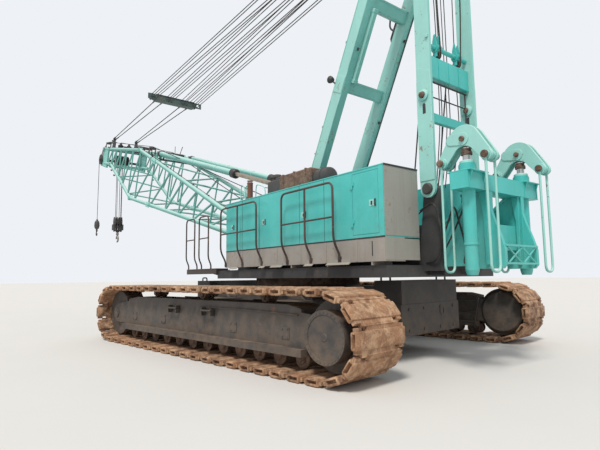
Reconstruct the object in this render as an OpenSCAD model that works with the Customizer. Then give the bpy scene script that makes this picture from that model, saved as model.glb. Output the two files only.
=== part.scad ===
// Crawler crane with a lattice boom, an A-frame gantry and twin weight-lifting cylinders.
// Millimetres. X points forward along the crawlers, Y to the left, Z up.
// The origin is on the ground, under the slewing axis.

/* [Slewing] */
// Angle at which the upper machinery stands, counted to the left
slew_a = -7; // [-30:1:30]
// Height of the slewing ring's underside
ring_z = 1330; // [1300:5:1360]
// Outer radius of the slewing ring
ring_r = 1250; // [1000:10:1400]
// Height of the slewing ring
ring_h = 150; // [120:5:200]

/* [Crawlers] */
// Distance of each crawler's centre from the middle
crawler_y = 2865; // [2700:5:3100]
// Width of a track shoe
shoe_w = 1115; // [900:5:1200]
// Distance of the tumbler shafts from the middle
tumbler_x = 3600; // [3300:10:4000]
// Radius of the track's hinge line round a tumbler
pin_line_r = 600; // [560:5:640]
// Height of a shoe outside its hinge line
shoe_out = 70; // [50:5:90]
// Depth of a shoe inside its hinge line
shoe_in = 45; // [35:5:60]
// Number of shoes on a track
shoes = 48; // [44:1:52]
// Gap between two shoes at the ground
shoe_gap = 24; // [10:2:40]
// Width of a crawler's box frame
side_frame_w = 560; // [450:10:640]
// Radius of the bottom rollers
roller_r = 150; // [120:5:160]
// Bottom rollers on one crawler
rollers = 12; // [8:1:14]
// Radius of the round cover on the travel drive
drive_cover_r = 375; // [300:5:400]

/* [Car body] */
// Length and width of the car body's centre box
carbody_l = 2700; // [2400:50:3000]
// Underside of the car body
carbody_z = 700; // [600:10:800]
// Width of a cross beam
cross_w = 720; // [600:10:900]
// Distance of the cross beams from the middle
cross_x = 1250; // [1100:10:1500]
// Front and rear weight: length of the lower block
weight_l = 1300; // [1000:10:1400]
// Front and rear weight: width
weight_w = 2100; // [1800:10:2300]
// Front and rear weight: outer face
weight_x = 3340; // [3100:10:3400]

/* [Deck and houses] */
// Half width of the upper machinery
house_y = 1600; // [1500:10:1700]
// Rear end of the machinery houses
house_rear = -3980; // [-4200:10:-3800]
// Front end of the left house
house_front = 1190; // [1000:10:1400]
// Depth of a house across the machine
house_d = 860; // [800:10:950]
// Underside of the deck skirts
skirt_z = 1740; // [1700:10:1800]
// Underside of the house panels
panel_z = 2130; // [2100:10:2250]
// Top of the houses
roof_z = 3300; // [3200:10:3400]
// Thickness of a house wall
wall_t = 40; // [30:2:50]
// Height of the boom foot pin
foot_z = 2500; // [2450:10:2600]
// Distance of the boom foot pin ahead of the slewing axis
foot_x = 1150; // [1100:10:1300]

/* [Boom] */
// Angle at which the boom stands
boom_a = 19.5; // [10:0.5:30]
// Distance from the foot pin to the head sheaves
boom_l = 15240; // [14800:20:15600]
// Distance from the foot pin to the section joint
base_l = 7620; // [7400:20:7900]
// Distance between the chords' centre lines across the boom
chord_w = 1860; // [1700:10:1900]
// Radius of a main chord
chord_r = 70; // [60:2:80]
// Radius of a lacing tube
lace_r = 34; // [28:2:40]
// Radius of the upright lacing tubes in the boom's sides
post_r = 29; // [24:1:32]
// Radius of the lacing tubes across the boom
cross_r = 31; // [24:1:33]
// Radius of the boom foot pin
foot_pin_r = 60; // [50:2:70]

/* [Gantry] */
// Height of the gantry head
gantry_z = 9250; // [9000:50:9500]
// Place of the rear legs behind the slewing axis
gantry_x = -4140; // [-4200:10:-4100]
// Half distance between the legs' middles
gantry_y = 610; // [560:10:640]
// Front legs: place of the foot pin
mast_foot_x = -420; // [-500:10:-300]
// Front legs: height of the foot pin
mast_foot_z = 2330; // [2250:10:2400]
// Width of a front leg seen from the side
mast_w = 300; // [240:10:330]
// Thickness of a front leg seen from ahead
mast_t = 170; // [140:10:200]

/* [Weight lifting device] */
// Cylinders behind the slewing axis
lift_x = -4985; // [-5050:5:-4900]
// Cylinders beside the middle
lift_y = 810; // [760:5:860]
// Radius of a lifting cylinder
lift_r = 100; // [85:5:115]
// Height of an equalizer's centre pin
equal_z = 3575; // [3550:5:3650]
// Half distance between an equalizer's end pins
equal_a = 380; // [370:5:400]

/* [Hidden] */

teal = [0.27, 0.72, 0.68];
light_teal = [0.45, 0.76, 0.71];
dark_grey = [0.22, 0.22, 0.22];
grey = [0.45, 0.44, 0.42];
rust = [0.55, 0.36, 0.25];
steel = [0.55, 0.55, 0.53];
black = [0.09, 0.09, 0.09];

// Clearance between pieces that only rest on each other, and at running pins
seat_gap = 0.3;
pin_gap = 0.05;

// Everything on the upper machinery is drawn straight and turned with it
module upper() { rotate([0, 0, slew_a]) children(); }

// Round or many-sided bar from one point to another
module bar(p, q, r, fn = 24) {
    d = q - p;
    l = norm(d);
    translate(p) rotate([0, acos(d[2] / l), atan2(d[1], d[0])]) cylinder(r = r, h = l, $fn = fn);
}
// Round bar across the machine
module cross_pin(x, z, y0, y1, r, fn = 48) {
    translate([x, y0, z]) rotate([-90, 0, 0]) cylinder(r = r, h = y1 - y0, $fn = fn);
}
// Plate in the XZ plane, from y0 to y1
module side_plate(y0, y1) {
    translate([0, y1, 0]) rotate([90, 0, 0]) linear_extrude(height = y1 - y0) children();
}
// Box from one corner to the other
module block(a, b) { translate(a) cube(b - a); }

// Crawlers

track_r = pin_line_r + shoe_out;
run_l = 2 * tumbler_x;
loop_l = 2 * run_l + 2 * PI * pin_line_r;
pitch = loop_l / shoes;
inner_r = pin_line_r * cos(90 * pitch / (PI * pin_line_r)) - shoe_in;
lower_run_z = shoe_out + shoe_in;
upper_run_z = track_r + pin_line_r - shoe_in;

// Point on the hinge line at a distance along it, from the rear end of the lower run
function hinge_pt(s) =
    let (a = PI * pin_line_r, t = s % loop_l)
    t < run_l ? [-tumbler_x + t, -pin_line_r]
    : t < run_l + a ? let (g = 180 * (t - run_l) / a) [tumbler_x + pin_line_r * sin(g), -pin_line_r * cos(g)]
    : t < 2 * run_l + a ? [tumbler_x - (t - run_l - a), pin_line_r]
    : let (g = 180 * (t - 2 * run_l - a) / a) [-tumbler_x - pin_line_r * sin(g), pin_line_r * cos(g)];
function unit(v) = v / norm(v);
function outward(v) = [v[1], -v[0]];

// The outer edge of one shoe: a row has the share of the pitch and the height above the hinge line
shoe_edge = [[shoe_gap / 2, shoe_out - 34], [shoe_gap / 2 + 8, shoe_out], [-shoe_gap / 2 - 8, shoe_out],
    [-shoe_gap / 2, shoe_out - 34]];

module track_outline() {
    hinges = [for (i = [0 : shoes]) hinge_pt(i * pitch)];
    outer = [for (i = [0 : shoes - 1], e = shoe_edge)
        let (p = hinges[i], q = hinges[i + 1], u = unit(q - p), l = norm(q - p))
        p + u * (e[0] > 0 ? e[0] : l + e[0]) + outward(u) * e[1]];
    inner = [for (i = [0 : shoes - 1])
        let (u = unit(unit(hinges[i + 1] - hinges[i]) + unit(hinges[i] - hinges[(i + shoes - 1) % shoes])))
        hinges[i] - outward(u) * shoe_in];
    n = len(outer);
    polygon(concat(outer, inner), paths = [[for (i = [0 : n - 1]) i], [for (i = [0 : shoes - 1]) n + i]]);
}
module track(side) {
    color(rust) translate([0, 0, track_r])
        side_plate(side * crawler_y - shoe_w / 2, side * crawler_y + shoe_w / 2) track_outline();
}
module track_left() { track(1); }
module track_right() { track(-1); }

frame_top = 1080;
frame_bottom = 420;
frame_half_l = tumbler_x - inner_r - 120;
yoke_t = 60;
module side_frame(side) {
    y = side * crawler_y;
    difference() {
        union() {
            side_plate(y - side_frame_w / 2, y + side_frame_w / 2)
                polygon([[-frame_half_l, frame_bottom], [frame_half_l, frame_bottom],
                    [frame_half_l, frame_top - 60], [frame_half_l - 500, frame_top],
                    [-frame_half_l + 300, frame_top], [-frame_half_l, frame_top - 60]]);
            // yokes that carry the tumbler shafts
            for (e = [-1, 1], k = [-1, 1])
                side_plate(y + k * (side_frame_w / 2) - (k > 0 ? yoke_t : 0),
                    y + k * (side_frame_w / 2) + (k > 0 ? 0 : yoke_t))
                    polygon([[e * (frame_half_l - 400), frame_bottom + 20], [e * tumbler_x, track_r - 220],
                        [e * (tumbler_x + 180), track_r - 90], [e * (tumbler_x + 180), track_r + 90],
                        [e * tumbler_x, track_r + 220], [e * (frame_half_l - 400), frame_top - 60]]);
            // ledge over the bottom rollers
            for (k = [-1, 1])
                block([-frame_half_l - 100, y + k * (side_frame_w / 2 + 50) - 70, frame_bottom - 90],
                    [frame_half_l + 100, y + k * (side_frame_w / 2 + 50) + 70, frame_bottom + 20]);
        }
        for (e = [-1, 1])
            cross_pin(e * tumbler_x, track_r, y - side_frame_w, y + side_frame_w, shaft_r + pin_gap);
    }
}
shaft_r = 110;
module crawler_frames() { color(dark_grey) for (side = [-1, 1]) side_frame(side); }

roller_x0 = frame_half_l - 100;
module track_rollers() {
    color(dark_grey) for (side = [-1, 1]) {
        y = side * crawler_y;
        for (i = [0 : rollers - 1])
            cross_pin(-roller_x0 + 2 * roller_x0 * i / (rollers - 1), lower_run_z + roller_r + seat_gap,
                y - 200, y + 200, roller_r);
        for (x = [-1900, 0, 1900])
            cross_pin(x, (upper_run_z + frame_top) / 2, y - 160, y + 160, (upper_run_z - frame_top) / 2 - seat_gap);
    }
}
module tumblers() {
    color(dark_grey) for (side = [-1, 1], e = [-1, 1]) {
        y = side * crawler_y;
        cross_pin(e * tumbler_x, track_r, y - side_frame_w / 2 + yoke_t + 5, y + side_frame_w / 2 - yoke_t - 5,
            inner_r - seat_gap);
        cross_pin(e * tumbler_x, track_r, y - side_frame_w / 2 - 20, y + side_frame_w / 2 + 20, shaft_r);
    }
}
cover_out = 190;
module drive_covers() {
    color(dark_grey) for (side = [-1, 1]) {
        y = side * (crawler_y + side_frame_w / 2 + 20 + seat_gap);
        difference() {
            cross_pin(-tumbler_x, track_r, min(y, y + side * cover_out), max(y, y + side * cover_out), drive_cover_r, 64);
            cross_pin(-tumbler_x, track_r, min(y + side * (cover_out - 12), y + side * (cover_out + 5)),
                max(y + side * (cover_out - 12), y + side * (cover_out + 5)), drive_cover_r - 60, 64);
        }
    }
}
module frame_steps() {
    color(steel) for (side = [-1, 1], x = [740, -510])
        translate([x, side * (crawler_y + side_frame_w / 2), 0]) {
            for (k = [-1, 1]) block([k * 90 - 12, side > 0 ? seat_gap : -150, 820], [k * 90 + 12, side > 0 ? 150 : -seat_gap, 940]);
            translate([-140, side * 110, 880]) rotate([0, 90, 0]) cylinder(r = 18, h = 280, $fn = 24);
        }
}

// Car body

module carbody() {
    color(dark_grey) difference() {
        union() {
            block([-carbody_l / 2, -carbody_l / 2, carbody_z], [carbody_l / 2, carbody_l / 2, ring_z - 60]);
            translate([0, 0, ring_z - 60]) cylinder(r = ring_r - 40, h = 60, $fn = 64);
            for (k = [-1, 1])
                block([k * cross_x - cross_w / 2, -(crawler_y - side_frame_w / 2) + seat_gap, carbody_z + 20],
                    [k * cross_x + cross_w / 2, crawler_y - side_frame_w / 2 - seat_gap, frame_top - 40]);
            for (k = [-1, 1])
                block([k > 0 ? carbody_l / 2 - 10 : -(weight_x - 620), -700, carbody_z + 60],
                    [k > 0 ? weight_x - 620 : -carbody_l / 2 + 10, 700, ring_z - 160]);
        }
        translate([0, 0, carbody_z - 1]) cylinder(r = 380, h = ring_z, $fn = 64);
    }
}
module slewing_ring() {
    color(steel) difference() {
        translate([0, 0, ring_z]) cylinder(r = ring_r, h = ring_h, $fn = 96);
        translate([0, 0, ring_z - 1]) cylinder(r = ring_r - 170, h = ring_h + 2, $fn = 96);
    }
}
weight_low = 430;
weight_mid = 990;
weight_top = 1420;
module carbody_weights() {
    color(dark_grey) for (k = [-1, 1]) mirror([k < 0 ? 1 : 0, 0, 0]) {
        block([weight_x - weight_l, -weight_w / 2, weight_low], [weight_x, weight_w / 2, carbody_z + 60 - seat_gap]);
        block([weight_x - 600, -weight_w / 2, carbody_z + 60 - seat_gap], [weight_x, weight_w / 2, weight_mid]);
        block([weight_x - 600, -weight_w / 2 + 40, weight_mid], [weight_x - 10, weight_w / 2 - 40, weight_top]);
    }
}

// Deck and houses

deck_low = ring_z + ring_h + seat_gap;
deck_top = deck_low + 200;
girder_y = 480;
girder_t = 60;
girder_rear = -4300;
cheek_t = 50;
boom_y = chord_w / 2;
module deck() {
    color(dark_grey) upper() difference() {
        union() {
            block([-3950, -house_y + 60, deck_low], [1750, house_y - 60, deck_top]);
            for (k = [-1, 1])
                side_plate(k * girder_y - girder_t / 2, k * girder_y + girder_t / 2)
                    polygon([[girder_rear, deck_low + 30], [girder_rear, 2380], [700, 2380], [1500, deck_top + 120],
                        [1500, deck_top - 5]]);
            // ears that hold the boom foot
            for (k = [-1, 1], j = [-1, 1]) {
                y = k * boom_y + j * (foot_w / 2 + cheek_t / 2 + 6);
                side_plate(y - cheek_t / 2, y + cheek_t / 2)
                    polygon([[foot_x - 520, deck_top - 5], [foot_x + 420, deck_top - 5],
                        [foot_x + 130, foot_z + 60], [foot_x + 60, foot_z + 130],
                        [foot_x - 60, foot_z + 130], [foot_x - 130, foot_z + 60]]);
                cross_pin(foot_x, foot_z, k * boom_y - foot_w / 2 - cheek_t - 30, k * boom_y + foot_w / 2 + cheek_t + 30,
                    foot_pin_r);
            }
            // columns at the rear that hold the gantry's rear legs
            for (k = [-1, 1]) {
                side_plate(min(k * 510, k * 600), max(k * 510, k * 600))
                    polygon([[gantry_x - 150, deck_low + 100], [gantry_x + 300, deck_low + 100],
                        [gantry_x + 140, rear_foot_z], [gantry_x + 80, rear_foot_z + 100], [gantry_x - 80, rear_foot_z + 100],
                        [gantry_x - 140, rear_foot_z]]);
                cross_pin(gantry_x, rear_foot_z, k > 0 ? 550 : -rear_y - 60, k > 0 ? rear_y + 60 : -550, 45);
            }
            // forked posts that the backstop rods end in
            for (k = [-1, 1], j = [-1, 1]) {
                y = k * stop_y + j * 75;
                side_plate(y - 10, y + 10)
                    polygon([[stop_seat[0] - 330, deck_top - 5], [stop_seat[0] + 330, deck_top - 5],
                        [stop_seat[0] + 110, stop_seat[1] + 60], [stop_seat[0] + 50, stop_seat[1] + 120],
                        [stop_seat[0] - 50, stop_seat[1] + 120], [stop_seat[0] - 110, stop_seat[1] + 60]]);
            }
            for (k = [-1, 1])
                block([stop_seat[0] - 90, k * stop_y - 80, 2400], [stop_seat[0] + 90, k * stop_y + 80, 2900]);
            // brackets that hold the front legs
            for (k = [-1, 1], j = [-1, 1]) {
                y = k * gantry_y + j * (mast_t / 2 + 21);
                side_plate(y - 15, y + 15)
                    polygon([[mast_foot_x - 300, deck_top - 5], [mast_foot_x + 300, deck_top - 5],
                        [mast_foot_x + 120, mast_foot_z + 110], [mast_foot_x - 120, mast_foot_z + 110]]);
            }
        }
        cross_pin(mast_foot_x, mast_foot_z, -900, 900, 50 + pin_gap);
        for (d = [drum_main, drum_aux, drum_boom])
            cross_pin(d[0], d[1], -girder_y - girder_t, girder_y + girder_t, drum_shaft_r + pin_gap);
    }
}
foot_w = 150;
drum_shaft_r = 60;

// Skirts are folded sheets on ribs, under the houses
skirt_t = 30;
skirt_in = 1120;
skirt_ribs = [-3700, -2600, -1500, -400];
module skirt(front) {
    side_plate(house_y - skirt_t, house_y)
        polygon([[house_rear, skirt_z], [front, skirt_z], [front, panel_z - seat_gap], [house_rear, panel_z - seat_gap]]);
    block([house_rear, skirt_in, panel_z - skirt_t - seat_gap], [front, house_y, panel_z - seat_gap]);
    for (x = [house_rear, front - skirt_t])
        block([x, skirt_in, skirt_z], [x + skirt_t, house_y, panel_z - seat_gap]);
    for (x = skirt_ribs)
        block([x, skirt_in, deck_top + seat_gap], [x + skirt_t, house_y - 5, panel_z - 5]);
}
module deck_skirts() {
    color(grey) upper() {
        skirt(house_front);
        mirror([0, 1, 0]) skirt(cab_x0 - 20);
    }
}
// A house is an open-bottomed shell of panels; doors are cut where a table of front and rear edges says
module house_plan(x0, x1, t) {
    polygon([[x0 + t, house_y - house_d + t], [min(x1, house_step) - t, house_y - house_d + t],
        [min(x1, house_step) - t, skirt_in + t], [x1 - t, skirt_in + t], [x1 - t, house_y - t], [x0 + t, house_y - t]]);
}
module house_shell(x0, x1, door_cuts) {
    difference() {
        translate([0, 0, panel_z]) linear_extrude(height = roof_z - panel_z) house_plan(x0, x1, 0);
        translate([0, 0, panel_z - 1]) linear_extrude(height = roof_z - wall_t - panel_z + 1)
            house_plan(x0, x1, wall_t);
        for (c = door_cuts)
            block([c[0], house_y - wall_t - 1, panel_z + door_sill], [c[1], house_y + 1, roof_z - door_sill]);
    }
}
// The house narrows ahead of this line to pass the boom foot
house_step = 350;
door_sill = 60;
door_gap = 6;
// Doors: rear edge and front edge
left_doors = [[-3870, -3270]];
right_doors = [[-2900, -2000], [-1900, -1000]];
right_house_front = 840;
module left_house() {
    color(teal) upper() {
        house_shell(house_rear, house_front, left_doors);
        for (c = left_doors) frame_knuckles(c[1], house_y, 1, hinge_heights);
    }
}
module right_house() {
    color(teal) upper() mirror([0, 1, 0]) {
        house_shell(house_rear, right_house_front, right_doors);
        for (c = right_doors) frame_knuckles(c[1], house_y, 1, hinge_heights);
    }
}
// Hinges: the frame's knuckle stands under the door's, which has the pin
hinge_r = 14;
hinge_pin_r = 8;
knuckle_h = 60;
hinge_heights = [panel_z + 200, roof_z - 320];
module knuckle(x, face, side, z, h) {
    translate([x, face + hinge_r + seat_gap, z]) cylinder(r = hinge_r, h = h, $fn = 32);
    block([min(x, x + side * 45), face - 1, z], [max(x, x + side * 45), face + hinge_r, z + h]);
}
module frame_knuckles(edge, face, side, heights) {
    x = edge - side * door_gap / 2;
    for (z = heights) difference() {
        knuckle(x, face, side, z, knuckle_h);
        translate([x, face + hinge_r + seat_gap, z - 1]) cylinder(r = hinge_pin_r + pin_gap, h = knuckle_h + 2, $fn = 32);
    }
}
module door_knuckles(edge, face, side, heights) {
    x = edge - side * door_gap / 2;
    for (z = heights) {
        knuckle(x, face, -side, z + knuckle_h + seat_gap, knuckle_h);
        translate([x, face + hinge_r + seat_gap, z + 5]) cylinder(r = hinge_pin_r, h = knuckle_h + 10, $fn = 32);
    }
}
module house_door(c) {
    block([c[0] + door_gap, house_y - wall_t, panel_z + door_sill + door_gap],
        [c[1] - door_gap, house_y, roof_z - door_sill - door_gap]);
    door_knuckles(c[1], house_y, 1, hinge_heights);
}
module left_rear_door() { color(teal) upper() house_door(left_doors[0]); }
module right_front_door() { color(teal) upper() mirror([0, 1, 0]) house_door(right_doors[1]); }
module right_rear_door() { color(teal) upper() mirror([0, 1, 0]) house_door(right_doors[0]); }
module engine_block() {
    color(dark_grey) upper() block([-2700, house_y - house_d + wall_t + 30, panel_z], [-1000, house_y - wall_t - 60, panel_z + 900]);
}
module exhaust() {
    color(rust) upper() {
        translate([900, 1100, roof_z + seat_gap]) difference() {
            cylinder(r = 70, h = 560, $fn = 32);
            translate([0, 0, 30]) cylinder(r = 62, h = 560, $fn = 32);
        }
    }
}
module roof_boxes() {
    color(rust) upper() {
        block([-1700, 800, roof_z + seat_gap], [-600, 1250, roof_z + 420]);
        translate([-2100, 1020, roof_z + 210]) rotate([0, 90, 0]) cylinder(r = 190, h = 420, $fn = 48);
        block([-420, 850, roof_z + seat_gap], [-60, 1200, roof_z + 330]);
    }
}

// Guard rails stand outside the left house on feet bent in to the skirt
rail_y = house_y + 150;
rail_r = 20;
rail_top = 3160;
rail_mid = 2540;
rail_foot = 1800;
// Hoops: rear post, front post, posts in between
hoops = [[-420, 1200, [400]], [-2930, -1370, [-2130]]];
module guard_rails() {
    color(black) upper() for (h = hoops) {
        xs = concat([h[0], h[1]], h[2]);
        for (x = xs) difference() {
            union() {
            bar([x, rail_y, 2050], [x, rail_y, rail_top], rail_r);
            bar([x, house_y + 10, rail_foot], [x, rail_y, 2060], rail_r);
            block([x - 45, house_y + seat_gap, rail_foot - 50], [x + 45, house_y + 12, rail_foot + 50]);
            }
            block([x - 60, house_y - 40, rail_foot - 100], [x + 60, house_y + seat_gap, rail_foot + 150]);
        }
        for (z = [rail_mid, rail_top]) bar([h[0], rail_y, z], [h[1], rail_y, z], rail_r);
    }
}

// Cab on the right, at the front

cab_x0 = 880;
cab_x1 = 2830;
cab_y0 = -2060;
cab_y1 = -1110;
cab_z0 = 1780;
cab_z1 = 3560;
cab_t = 45;
// Openings of the cab, as low and high corners across the wall that they cut
cab_front = [[cab_y0 + 80, cab_z0 + 480], [cab_y1 - 80, cab_z1 - 110]];
cab_inner = [[cab_x0 + 220, cab_z0 + 800], [cab_x1 - 150, cab_z1 - 130]];
cab_doorway = [[cab_x0 + 700, cab_z0 + 60], [cab_x1 - 150, cab_z1 - 110]];
cab_quarter = [[cab_x0 + 100, cab_z0 + 800], [cab_x0 + 600, cab_z1 - 130]];
cab_rear = [[cab_y0 + 110, cab_z0 + 900], [cab_y1 - 110, cab_z1 - 150]];
cab_hinges = [cab_z0 + 250, cab_z1 - 450];
module x_cut(o, x0, x1, e = 0) { block([x0, o[0][0] + e, o[0][1] + e], [x1, o[1][0] - e, o[1][1] - e]); }
module y_cut(o, y0, y1, e = 0) { block([o[0][0] + e, y0, o[0][1] + e], [o[1][0] - e, y1, o[1][1] - e]); }
module cab() {
    color(teal) upper() {
        difference() {
            block([cab_x0, cab_y0, cab_z0], [cab_x1, cab_y1, cab_z1]);
            block([cab_x0 + cab_t, cab_y0 + cab_t, cab_z0 + cab_t], [cab_x1 - cab_t, cab_y1 - cab_t, cab_z1 - cab_t]);
            x_cut(cab_front, cab_x1 - 200, cab_x1 + 10);
            y_cut(cab_inner, cab_y1 - 100, cab_y1 + 10);
            y_cut(cab_doorway, cab_y0 - 10, cab_y0 + 100);
            y_cut(cab_quarter, cab_y0 - 10, cab_y0 + 100);
            x_cut(cab_rear, cab_x0 - 10, cab_x0 + 100);
        }
        mirror([0, 1, 0]) frame_knuckles(cab_doorway[1][0], -cab_y0, 1, cab_hinges);
        // mounting frame between the cab and the deck
        block([cab_x0 + 40, cab_y1 - 500, deck_top + seat_gap], [cab_x1 - 1150, cab_y1 - 20, cab_z0 + 5]);
    }
}
glass_t = 8;
module cab_glass() {
    color([0.5, 0.65, 0.7, 0.4]) upper() {
        x_cut(cab_front, cab_x1 - 20, cab_x1 - 20 + glass_t, seat_gap);
        y_cut(cab_inner, cab_y1 - 20, cab_y1 - 20 + glass_t, seat_gap);
        y_cut(cab_quarter, cab_y0 + 12, cab_y0 + 12 + glass_t, seat_gap);
        x_cut(cab_rear, cab_x0 + 12, cab_x0 + 12 + glass_t, seat_gap);
    }
}
module cab_seat() {
    color(black) upper() {
        translate([cab_x0 + 500, (cab_y0 + cab_y1) / 2, cab_z0 + cab_t + seat_gap]) {
            block([100, -120, 0], [380, 120, 320]);
            block([0, -230, 320], [520, 230, 450]);
            block([0, -230, 450], [120, 230, 1050]);
            block([150, -400, 0], [600, -280, 560]);
            block([150, 280, 0], [600, 400, 560]);
        }
    }
}
module cab_door() {
    color(teal) upper() {
        difference() {
            y_cut(cab_doorway, cab_y0, cab_y0 + cab_t, door_gap);
            y_cut([[cab_doorway[0][0] + 90, cab_z0 + 800], [cab_doorway[1][0] - 90, cab_z1 - 200]], cab_y0 - 10, cab_y0 + 100);
        }
        mirror([0, 1, 0]) door_knuckles(cab_doorway[1][0], -cab_y0, 1, cab_hinges);
    }
}

// Winch drums

// Drums: name's row has place along, height, barrel radius, flange radius, half length
drum_main = [250, 2200, 240, 400, 400];
drum_aux = [-1250, 2200, 240, 400, 400];
drum_boom = [-2350, 2200, 220, 380, 400];
module drum(d) {
    upper() {
        cross_pin(d[0], d[1], -d[4], d[4], d[2]);
        for (k = [-1, 1]) cross_pin(d[0], d[1], k * d[4] - 20, k * d[4] + 20, d[3]);
        cross_pin(d[0], d[1], -girder_y - girder_t / 2, girder_y + girder_t / 2, drum_shaft_r);
    }
}
module main_drum() { color(steel) drum(drum_main); }
module aux_drum() { color(steel) drum(drum_aux); }
module boom_hoist_drum() { color(steel) drum(drum_boom); }

// Gantry

head_z = gantry_z;
mast_head_x = gantry_x + 260;
mast_l = norm([mast_head_x - mast_foot_x, head_z - mast_foot_z]);
mast_lean = atan2(mast_foot_x - mast_head_x, head_z - mast_foot_z);
// Front legs in their own frame: Z runs along the legs from the foot pin
module mast_frame() { upper() translate([mast_foot_x, 0, mast_foot_z]) rotate([0, -mast_lean, 0]) children(); }
head_plate_y = 560;
head_shaft = [gantry_x + 60, head_z];
head_shaft_r = 55;
rear_pin_z = head_z - 260;
module gantry_front_legs() {
    color(light_teal) {
        mast_frame() difference() {
            union() {
                for (k = [-1, 1]) {
                    block([-mast_w / 2, k * gantry_y - mast_t / 2, 60],
                        [mast_w / 2, k * gantry_y + mast_t / 2, mast_l - 400]);
                    cross_pin(0, 0, k * gantry_y - mast_t / 2, k * gantry_y + mast_t / 2, 110);
                    block([-105, k * gantry_y - mast_t / 2, 0], [105, k * gantry_y + mast_t / 2, 62]);
                }
                for (z = mast_ties) block([-90, -gantry_y, z], [90, gantry_y, z + 260]);
                block([-110, -gantry_y, mast_l - 700], [110, gantry_y, mast_l - 420]);
            }
            cross_pin(0, 0, -gantry_y - 200, gantry_y + 200, 50 + pin_gap);
        }
        upper() for (k = [-1, 1]) {
            difference() {
                side_plate(k * head_plate_y - 25, k * head_plate_y + 25)
                    polygon([[gantry_x - 150, rear_pin_z - 120], [gantry_x + 560, rear_pin_z - 420],
                        [gantry_x + 720, rear_pin_z - 330], [gantry_x + 260, head_z + 130], [gantry_x - 20, head_z + 150],
                        [gantry_x - 150, head_z]]);
                cross_pin(head_shaft[0], head_shaft[1], -900, 900, head_shaft_r + pin_gap);
            }
            cross_pin(mast_foot_x, mast_foot_z, k * gantry_y - mast_t / 2 - 45, k * gantry_y + mast_t / 2 + 45, 50);
            cross_pin(gantry_x, rear_pin_z, k > 0 ? head_plate_y : -rear_y - 60, k > 0 ? rear_y + 60 : -head_plate_y, 45);
        }
    }
}
// Ties between the front legs: distance from the foot pin
mast_ties = [3450, 5150];
rear_w = 300;
rear_t = 50;
rear_y = gantry_y + 12 + rear_t / 2;
rear_foot_z = 2960;
rear_joint_z = 4590;
module gantry_rear_legs() {
    color(light_teal) upper() for (k = [-1, 1]) {
        y = k * rear_y;
        difference() {
            union() {
                block([gantry_x - rear_w / 2, y - rear_t / 2, rear_foot_z], [gantry_x + rear_w / 2, y + rear_t / 2, rear_pin_z]);
                for (z = [rear_foot_z, rear_pin_z]) cross_pin(gantry_x, z, y - rear_t / 2, y + rear_t / 2, rear_w / 2);
            }
            for (z = [rear_foot_z, rear_pin_z]) cross_pin(gantry_x, z, y - 100, y + 100, 45 + pin_gap);
            // slot under the joint
            block([gantry_x - 30, y - 100, rear_joint_z - 330], [gantry_x + 30, y + 100, rear_joint_z - 130]);
        }
        cross_pin(gantry_x, rear_joint_z, y - 70, y + 70, 60);
    }
}
// Height of the shaft of the rope guide's sheaves
guide_shaft_z = 5560;
module rope_guide() {
    inner = rear_y - rear_t / 2 - seat_gap;
    color(teal) upper() {
        block([gantry_x - 60, -inner, guide_shaft_z - 610], [gantry_x + 60, inner, guide_shaft_z - 210]);
        block([gantry_x - 40, -inner, rear_joint_z - 440], [gantry_x + 40, inner, rear_joint_z - 270]);
        cross_pin(gantry_x, guide_shaft_z, -inner, inner, 45);
        for (y = [-260, 200]) cross_pin(gantry_x, guide_shaft_z, y, y + 60, 150);
    }
}
module gantry_sheaves() {
    color(steel) upper() {
        cross_pin(head_shaft[0], head_shaft[1], -head_plate_y - 60, head_plate_y + 60, head_shaft_r);
        for (i = [0 : 7]) cross_pin(head_shaft[0], head_shaft[1], -455 + i * 120, -455 + i * 120 + 60, 280);
    }
}
// Yoke that swings on the head shaft and follows the ropes
yoke_y = head_plate_y + 42;
module peak_yoke() {
    color(dark_grey) upper() for (k = [-1, 1]) {
        difference() {
            union() {
                cross_pin(head_shaft[0], head_shaft[1], k * yoke_y - 12, k * yoke_y + 12, 120);
                side_plate(k * yoke_y - 12, k * yoke_y + 12)
                    polygon([[head_shaft[0], head_shaft[1] - 110], [head_shaft[0] + 620, head_shaft[1] - 110],
                        [head_shaft[0] + 620, head_shaft[1] + 30], [head_shaft[0], head_shaft[1] + 110]]);
            }
            cross_pin(head_shaft[0], head_shaft[1], k * yoke_y - 40, k * yoke_y + 40, head_shaft_r + pin_gap);
        }
    }
    color(dark_grey) upper() cross_pin(head_shaft[0] + 560, head_shaft[1] - 40, -yoke_y, yoke_y, 30);
}

// Weight lifting device

// Height of the beam that carries the barrels, and half its length
beam_z = [2800, 3050];
beam_half = 1050;
module lift_frame() {
    color(teal) upper() difference() {
        union() {
            block([lift_x - 150, -beam_half, beam_z[0]], [lift_x + 150, beam_half, beam_z[1]]);
            for (k = [-1, 1])
                side_plate(k * girder_y - girder_t / 2, k * girder_y + girder_t / 2)
                    polygon([[girder_rear - seat_gap, 1650], [lift_x - 120, 1650], [lift_x - 130, beam_z[0] + 10],
                        [lift_x + 140, beam_z[0] + 10], [girder_rear - seat_gap, 2370]]);
            block([lift_x - 60, -girder_y, 1900], [lift_x + 60, girder_y, 2300]);
        }
        for (k = [-1, 1]) translate([lift_x, k * lift_y, beam_z[0] - 100]) cylinder(r = lift_r + seat_gap, h = 500, $fn = 64);
    }
}
module lift_barrels() {
    color(teal) upper() for (k = [-1, 1]) translate([lift_x, k * lift_y, 0]) difference() {
        union() {
            translate([0, 0, 1580]) cylinder(r = lift_r, h = 1600, $fn = 64);
            translate([0, 0, beam_z[1] + seat_gap]) cylinder(r = lift_r + 30, h = 130, $fn = 64);
        }
        translate([0, 0, 1640]) cylinder(r = 60 + pin_gap, h = 1600, $fn = 64);
    }
}
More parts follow.
